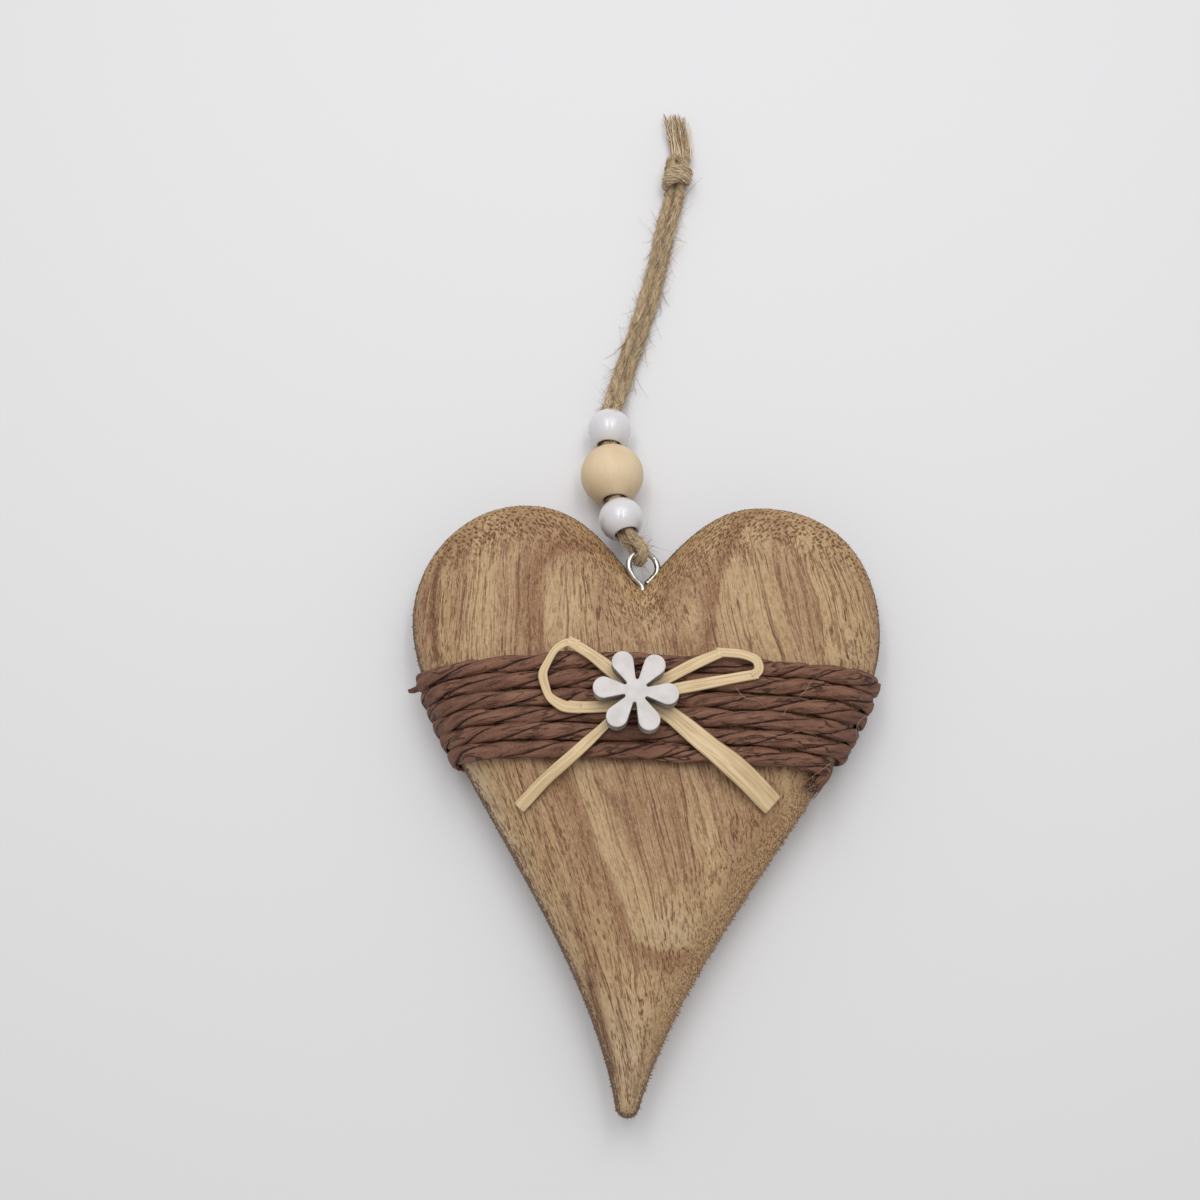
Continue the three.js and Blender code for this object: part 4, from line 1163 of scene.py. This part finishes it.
# %% Beads
strand_diameter = 2.2
strand_gap = 0.05
bead_space = 0.9
table_gap = 0.4
bore_radius = strand_diameter + 0.45
bead_sizes = {
    "lower": (10.4, [-0.33, 1, -0.24]),
    "middle": (14.8, [-0.13, 1, -0.15]),
    "upper": (10.4, [0, 1, -0.12]),
}
headings, half_lengths, reaches = {}, {}, {}
for name, (size, heading) in bead_sizes.items():
    headings[name] = unit(np.array(heading))
    half_lengths[name] = np.sqrt((size / 2) ** 2 - bore_radius ** 2)
    reaches[name] = headings[name] * (half_lengths[name] + bead_space / 2)
middle_centre = np.array([-7.6, 142.7, bead_sizes["middle"][0] / 2 + table_gap])
bead_centres = {"lower": middle_centre - reaches["middle"] - reaches["lower"], "middle": middle_centre,
                "upper": middle_centre + reaches["middle"] + reaches["upper"]}


def bead_grid(name):
    """The bead's profile spun round its axis. The rows run along the ball, round the hole's edge,
    through the bore and out again, so that the last row meets the first."""
    radius = bead_sizes[name][0] / 2
    half = half_lengths[name]
    lip = 0.35
    start = np.arctan2(half - 0.28, bore_radius + lip)
    swing = np.linspace(-start, start, 40)
    ball = np.stack([radius * np.cos(swing), radius * np.sin(swing)], axis=1)
    turn = np.linspace(0, np.pi / 2, 6)[1:]
    edge = ball[-1] + np.stack([-lip * np.sin(turn), -lip * (1 - np.cos(turn))], axis=1)
    bore = np.stack([np.full(7, edge[-1, 0]), np.linspace(edge[-1, 1], -edge[-1, 1], 9)[1:-1]], axis=1)
    profile = np.vstack([ball, edge, bore, edge[::-1] * [1, -1], ball[:1]])
    axis = headings[name]
    side = unit(np.cross(axis, [0, 0, 1]))
    spokes = spokes_of(side, np.cross(side, axis), 56)[0]
    return bead_centres[name] + profile[:, None, :1] * spokes + profile[:, None, 1:] * axis


def bead_object(name, material):
    """A closed ring of rows: the first and last rows are the same, so the ends need no fan."""
    grid = bead_grid(name)[:-1]
    rows, columns = grid.shape[:2]
    index = np.arange(rows * columns).reshape(rows, columns)
    ahead, beside = np.roll(index, -1, axis=0), np.roll(index, -1, axis=1)
    quads = np.stack([index, ahead, np.roll(ahead, -1, axis=1), beside], axis=-1).reshape(-1, 4)
    no_fans = np.zeros((0, 3), int)
    made = new_object("bead_" + name + "_turned", grid.reshape(-1, 3), quads[:, ::-1], no_fans, material)
    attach(made, "root")
    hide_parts("bead_" + name)
    return made


def lacquer_material():
    recipe = Recipe("white_lacquer")
    waves = recipe.noise(recipe.place(), (160, 160, 160), 1.0)
    recipe.colour = recipe.mix(waves, srgb(224, 222, 225), srgb(214, 212, 216))
    return recipe.finish(Roughness=0.32, Normal=recipe.bump(waves, 0.06, 0.1), Coat_Weight=0.9,
                         Coat_Roughness=0.03)


def bare_wood_material():
    recipe = Recipe("bare_bead_wood", srgb(225, 203, 168))
    place = recipe.place()
    grain = recipe.noise(place, (1500, 120, 1500), 3.0)
    recipe.lay(srgb(218, 192, 154), recipe.noise(place, (200, 90, 200), 1.0), 0.3, 0.7)
    recipe.lay(srgb(200, 166, 122), grain, 0.55, 0.8, 0.3)
    return recipe.finish(Roughness=0.55, Normal=recipe.bump(grain, 0.2, 0.08))


lacquer = lacquer_material()
beads = [bead_object("lower", lacquer),
         bead_object("middle", bare_wood_material()),
         bead_object("upper", lacquer)]

# %% [markdown]
# The hanging cord is one length of jute, about 2.2 mm thick. It leaves the knot, runs beside itself
# through the three beads, turns over the ring of the eye, and goes back into the knot. Its middle
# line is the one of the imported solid, as a list of places with the angle of one strand about the
# other. The section is that of the wrap, with a shallow groove on both sides where its plies meet.

# %% Cord route
flat_height = strand_diameter / 2 + table_gap
loop_radius = (eye_wire + strand_diameter) / 2 + 0.3
eye_top = eye_centre + np.array([-0.22, 0.97, 0.08]) * eye_radius
bead_ends = [bead_centres[name] + end * half_lengths[name] * headings[name]
             for name in bead_sizes for end in (-1, 1)]
stack_angles = [58, 60, 60, 56, 50, 38]
knot_start = np.array([5.7, 221.6, flat_height + 0.5])
knot_heading = unit(np.array([0.15, 1, 0]))
cord_route = [
    (eye_top + [-1.3, 2.6, -0.6], 62),
    *zip(bead_ends, stack_angles),
    ([-7.9, 162.6, 3.65], 20), ([-6.6, 167.6, 2.15], 8), ([-4.3, 176.4, flat_height], 0),
    ([-0.9, 188.5, flat_height], 0), ([1.8, 200.8, flat_height], 0), ([3.4, 209.9, flat_height], 0),
    ([5.3, 219.3, flat_height + 0.3], 0),
]


def strand_line(side):
    """One strand of the pair: beside the middle line, at the angle of each place."""
    steps = 8
    points, angles = zip(*cord_route, (knot_start, 0))
    middle = smooth_line(points, steps)
    turns = np.interp(np.arange(len(middle)) / steps, np.arange(len(points)), angles)
    ahead = unit(np.gradient(middle, axis=0))
    across = unit(np.stack([ahead[:, 1], -ahead[:, 0], 0 * ahead[:, 0]], axis=1))
    over = np.cross(across, ahead)
    offset = side * (strand_diameter + strand_gap) / 2
    angle = np.radians(turns)[:, None]
    return middle + offset * (across * np.cos(angle) + over * np.sin(angle))


loop_angle = np.radians(np.arange(99, -100, -33))[:, None]
loop_line = eye_top + [0, -loop_radius, 0] * np.cos(loop_angle) + eye_up * loop_radius * np.sin(loop_angle)
cord_line = np.vstack([strand_line(1)[::-1][:-3], loop_line, strand_line(-1)[3:]])
cord_line = walked(smooth_line(walked(cord_line, 1.6), 6), 0.3)


# %% Cord surface
cord_pitch = 14.0
knot_pitch = 6.5
cord_sides = 24
knot_sides = 18
cord_groove = 0.16
# No loose fibre lies lower over the table, and none comes nearer to a bead.
fibre_floor = 0.3
fibre_clearance = 0.2


def plied_grid(line, diameter, pitch, sides, seed_value):
    """A cord of two plies along a line: a round section with two grooves that turn once in a pitch,
    with slow changes of thickness. Gives the grid, its valleys and its UV map."""
    station = lengths_along(line)
    up = carried_up(line, np.array([0.0, 0.0, 1.0]))
    spokes, angle = spokes_of(*axes_along(line, up), sides)
    twist = 2 * np.pi * station / pitch + slow_noise(station, 8.0, seed_value, 1.6)
    turned = angle[None] + twist[:, None]
    size = diameter / 2 * (1.1 + slow_noise(station, 3.0, seed_value + 1, 0.1))[:, None]
    radius = plied_radius(turned, size, cord_groove, 6)
    around = np.concatenate([turned, turned[:, :1] + 2 * np.pi], axis=1) / (2 * np.pi)
    return line[:, None] + spokes * radius[..., None], np.cos(turned), around, station


def plied_object(name, line, diameter, pitch, sides, seed_value):
    """One piece of jute cord along a line."""
    grid, crease, around, along = plied_grid(line, diameter, pitch, sides, seed_value)
    return skin_object(name, grid, jute, {"crease": crease}, around, along)


def jute_material():
    recipe = Recipe("jute", srgb(206, 182, 146))
    uv = recipe.own_map()
    fibres = recipe.noise(uv, (16, 0.4, 1), 4.0, 0.75)
    crease = recipe.thread(recipe.wavered(recipe.value_of("crease"), fibres, 1.2), 0.0, 0.3)
    recipe.lay(srgb(184, 156, 120), recipe.noise(uv, (1.5, 0.18, 1)), 0.3, 0.7)
    recipe.lay(srgb(222, 202, 166), fibres, 0.52, 0.66, 0.7)
    recipe.lay(srgb(128, 98, 66), fibres, 0.48, 0.36, 0.8)
    # Painted shade: a dark line along the groove between the two plies.
    recipe.stain(srgb(118, 88, 58), crease, 0.55)
    return recipe.finish(Roughness=0.85, Normal=recipe.bump(fibres, 1.0, 0.5))


def lying_fibres(line, radius, count, length):
    """Fibres that lie on a cord: each starts somewhere round it, winds on a little as it goes
    along, and lifts off towards both ends."""
    first, second = axes_along(line, carried_up(line, np.array([0.0, 0.0, 1.0])))
    step = np.linalg.norm(line[1] - line[0])
    ahead = np.linspace(0, length / step, 6).astype(int)
    place = chance.integers(0, len(line) - ahead[-1], count)[:, None] + ahead
    slant = chance.normal(0.25, 0.12, (count, 1))
    swing = chance.uniform(0, 2 * np.pi, (count, 1)) + slant * np.arange(6)
    lift = radius * chance.uniform(0.98, 1.12, (count, 1)) + 0.05 * (np.arange(6) - 2.5) ** 2
    offset = first[place] * np.cos(swing)[..., None] + second[place] * np.sin(swing)[..., None]
    made = line[place] + offset * lift[..., None]
    made[..., 2] = np.maximum(made[..., 2], fibre_floor)
    return made


jute = jute_material()
loose = fibre_material("loose_fibres", srgb(144, 114, 80), srgb(242, 224, 192))
cord = plied_object("jute_cord", cord_line, strand_diameter, cord_pitch, cord_sides, 71)
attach(cord, "root")
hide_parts("hanging_cord")

# %% [markdown]
# The two ends of the cord are tied in one thumb knot and cut off. The pair of strands goes up
# through the middle and round itself in a slanting turn, and the ends fray into loose fibres.

# %% Knot
knot_across = np.array([knot_heading[1], -knot_heading[0], 0])


def from_knot(across, ahead, up):
    """A place beside, ahead of and above the start of the knot."""
    offsets = np.stack(np.broadcast_arrays(across, ahead, up), axis=-1)
    return knot_start * [1, 1, 0] + offsets @ np.array([knot_across, knot_heading, [0, 0, 1]])


knot_pieces = []
lying = [lying_fibres(cord_line, 1.16, 800, 7.0)]
core_across = np.array([1.2, 1.15, 0.9, 0.9, 1.1, 1.0])
core_ahead = np.array([-0.6, 2, 5, 8, 11, 14])
core_up = np.array([2.0, 2.6, 3.2, 3.2, 2.6, 2.0])
share = np.linspace(0, 1, 40)
swing = np.radians(205 - 450 * share)
for side, end in ((-1, "_left"), (1, "_right")):
    core = smooth_line(from_knot(side * core_across, core_ahead, core_up), 10)
    turn = from_knot(2.35 * np.cos(swing), 2.6 + 5.2 * share + side * 0.95, 3.9 + 2.3 * np.sin(swing))
    for name, line, size in (("knot_core", core, 2.1), ("knot_turn", turn, 2.2)):
        line = walked(line, 0.35)
        knot_pieces.append(plied_object(name + end, line, size, knot_pitch, knot_sides, 80 + side))
        lying.append(lying_fibres(line, size * 0.54, 110, 4.0))
lying = np.concatenate(lying)
thickness = chance.uniform(0.14, 0.3, len(lying))
shade = chance.uniform(0.25, 1, len(lying))
knot_pieces.append(fibres_object("lying_fibres", lying, thickness, loose, shade))

tail_count = 260
spread = chance.normal(0, 1, (tail_count, 2))
lengths = chance.uniform(8.5, 13.5, tail_count)
share = np.linspace(0, 1, 6)[None, :]
tail_across = spread[:, :1] * (0.75 + 0.25 * share) * 1.35 - 3.3 * share ** 1.3
tail_across = tail_across + chance.normal(0, 0.35, (tail_count, 1)) * share ** 2
tail_across = tail_across + 0.35 * np.sin(3.5 * np.pi * share + 2.5 * spread[:, 1:]) * share
tail_up = 2.0 + np.clip(spread[:, 1:], -1.4, 2) * 0.8 * (1 - 0.3 * share)
tail_lines = from_knot(tail_across, 10.2 + lengths[:, None] * share, np.maximum(tail_up, 0.4))
thickness = chance.uniform(0.22, 0.48, tail_count)
shade = chance.uniform(0, 1, tail_count)
knot_pieces.append(fibres_object("frayed_ends", tail_lines, thickness, loose, shade, 4))

fuzz_count = 2600
pick = chance.integers(3, len(cord_line) - 12, fuzz_count)
out = unit(chance.normal(0, 1, (fuzz_count, 3)) + [0, 0, 0.4])
ahead = unit(cord_line[pick + 3] - cord_line[pick]) * chance.choice([-1, 1], (fuzz_count, 1))
reach = chance.gamma(1.8, 1.1, (fuzz_count, 1, 1)) + 0.5
share = np.linspace(0, 1, 5)[None, :, None]
start = cord_line[pick][:, None] + 1.1 * out[:, None]
curl = chance.normal(0, 0.25, (fuzz_count, 1, 3)) * share ** 2
fuzz_lines = start + reach * (ahead[:, None] * share + 0.6 * out[:, None] * share ** 1.5 + curl)
fuzz_lines[..., 2] = np.maximum(fuzz_lines[..., 2], fibre_floor)
for name, (size, heading) in bead_sizes.items():
    nearest = np.linalg.norm(fuzz_lines - bead_centres[name], axis=2).min(axis=1)
    fuzz_lines = fuzz_lines[nearest > size / 2 + fibre_clearance]
thickness = chance.uniform(0.1, 0.18, len(fuzz_lines))
shade = chance.uniform(0, 0.8, len(fuzz_lines))
knot_pieces.append(fibres_object("jute_fuzz", fuzz_lines, thickness, loose, shade))
for piece in knot_pieces:
    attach(piece, "root")
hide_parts("cord_knot")

# %% [markdown]
# The table is a plain pale sheet, and the light is soft: one large panel overhead, two narrow
# windows that draw the bright bars on the lacquered beads, and an even pale sky.

# %% Table and light
table_mesh = bpy.data.meshes.new("table")
table_mesh.from_pydata([(-3, -3, 0), (3, -3, 0), (3, 3, 0), (-3, 3, 0)], [], [(0, 1, 2, 3)])
table = bpy.data.objects.new("table", table_mesh)
bpy.context.scene.collection.objects.link(table)
table_mesh.materials.append(Recipe("table_top", srgb(228, 228, 230)).finish(Roughness=0.9))


def panel(name, place, aim, width, length, power):
    """A rectangular lamp that looks from one place to another."""
    lamp = bpy.data.lights.new(name, "AREA")
    lamp.shape, lamp.size, lamp.size_y, lamp.energy = "RECTANGLE", width, length, power
    made = bpy.data.objects.new(name, lamp)
    back = unit(np.array(place, float) - np.array(aim, float))
    side = unit(np.cross([0, 1, 0.001], back))
    matrix = np.eye(4)
    matrix[:3, 0], matrix[:3, 1], matrix[:3, 2], matrix[:3, 3] = side, np.cross(back, side), back, place
    made.matrix_world = Matrix(matrix.tolist())
    bpy.context.scene.collection.objects.link(made)
    return made


panel("overhead_panel", (0.0, 0.36, 0.66), (0, 0.05, 0), 0.8, 0.6, 2.4)
window_aim = (0, 0.06, 0)
for name, x in (("left_window", -0.15), ("right_window", 0.12)):
    panel(name, (x, 0.15, 0.6), window_aim, 0.06, 0.5, 0.48)
world = bpy.data.worlds.new("soft_sky")
world.use_nodes = True
sky = world.node_tree.nodes["Background"]
sky.inputs["Color"].default_value = srgb(238, 237, 236)
sky.inputs["Strength"].default_value = 0.53
bpy.context.scene.world = world
bpy.context.scene.view_settings.view_transform = "Standard"
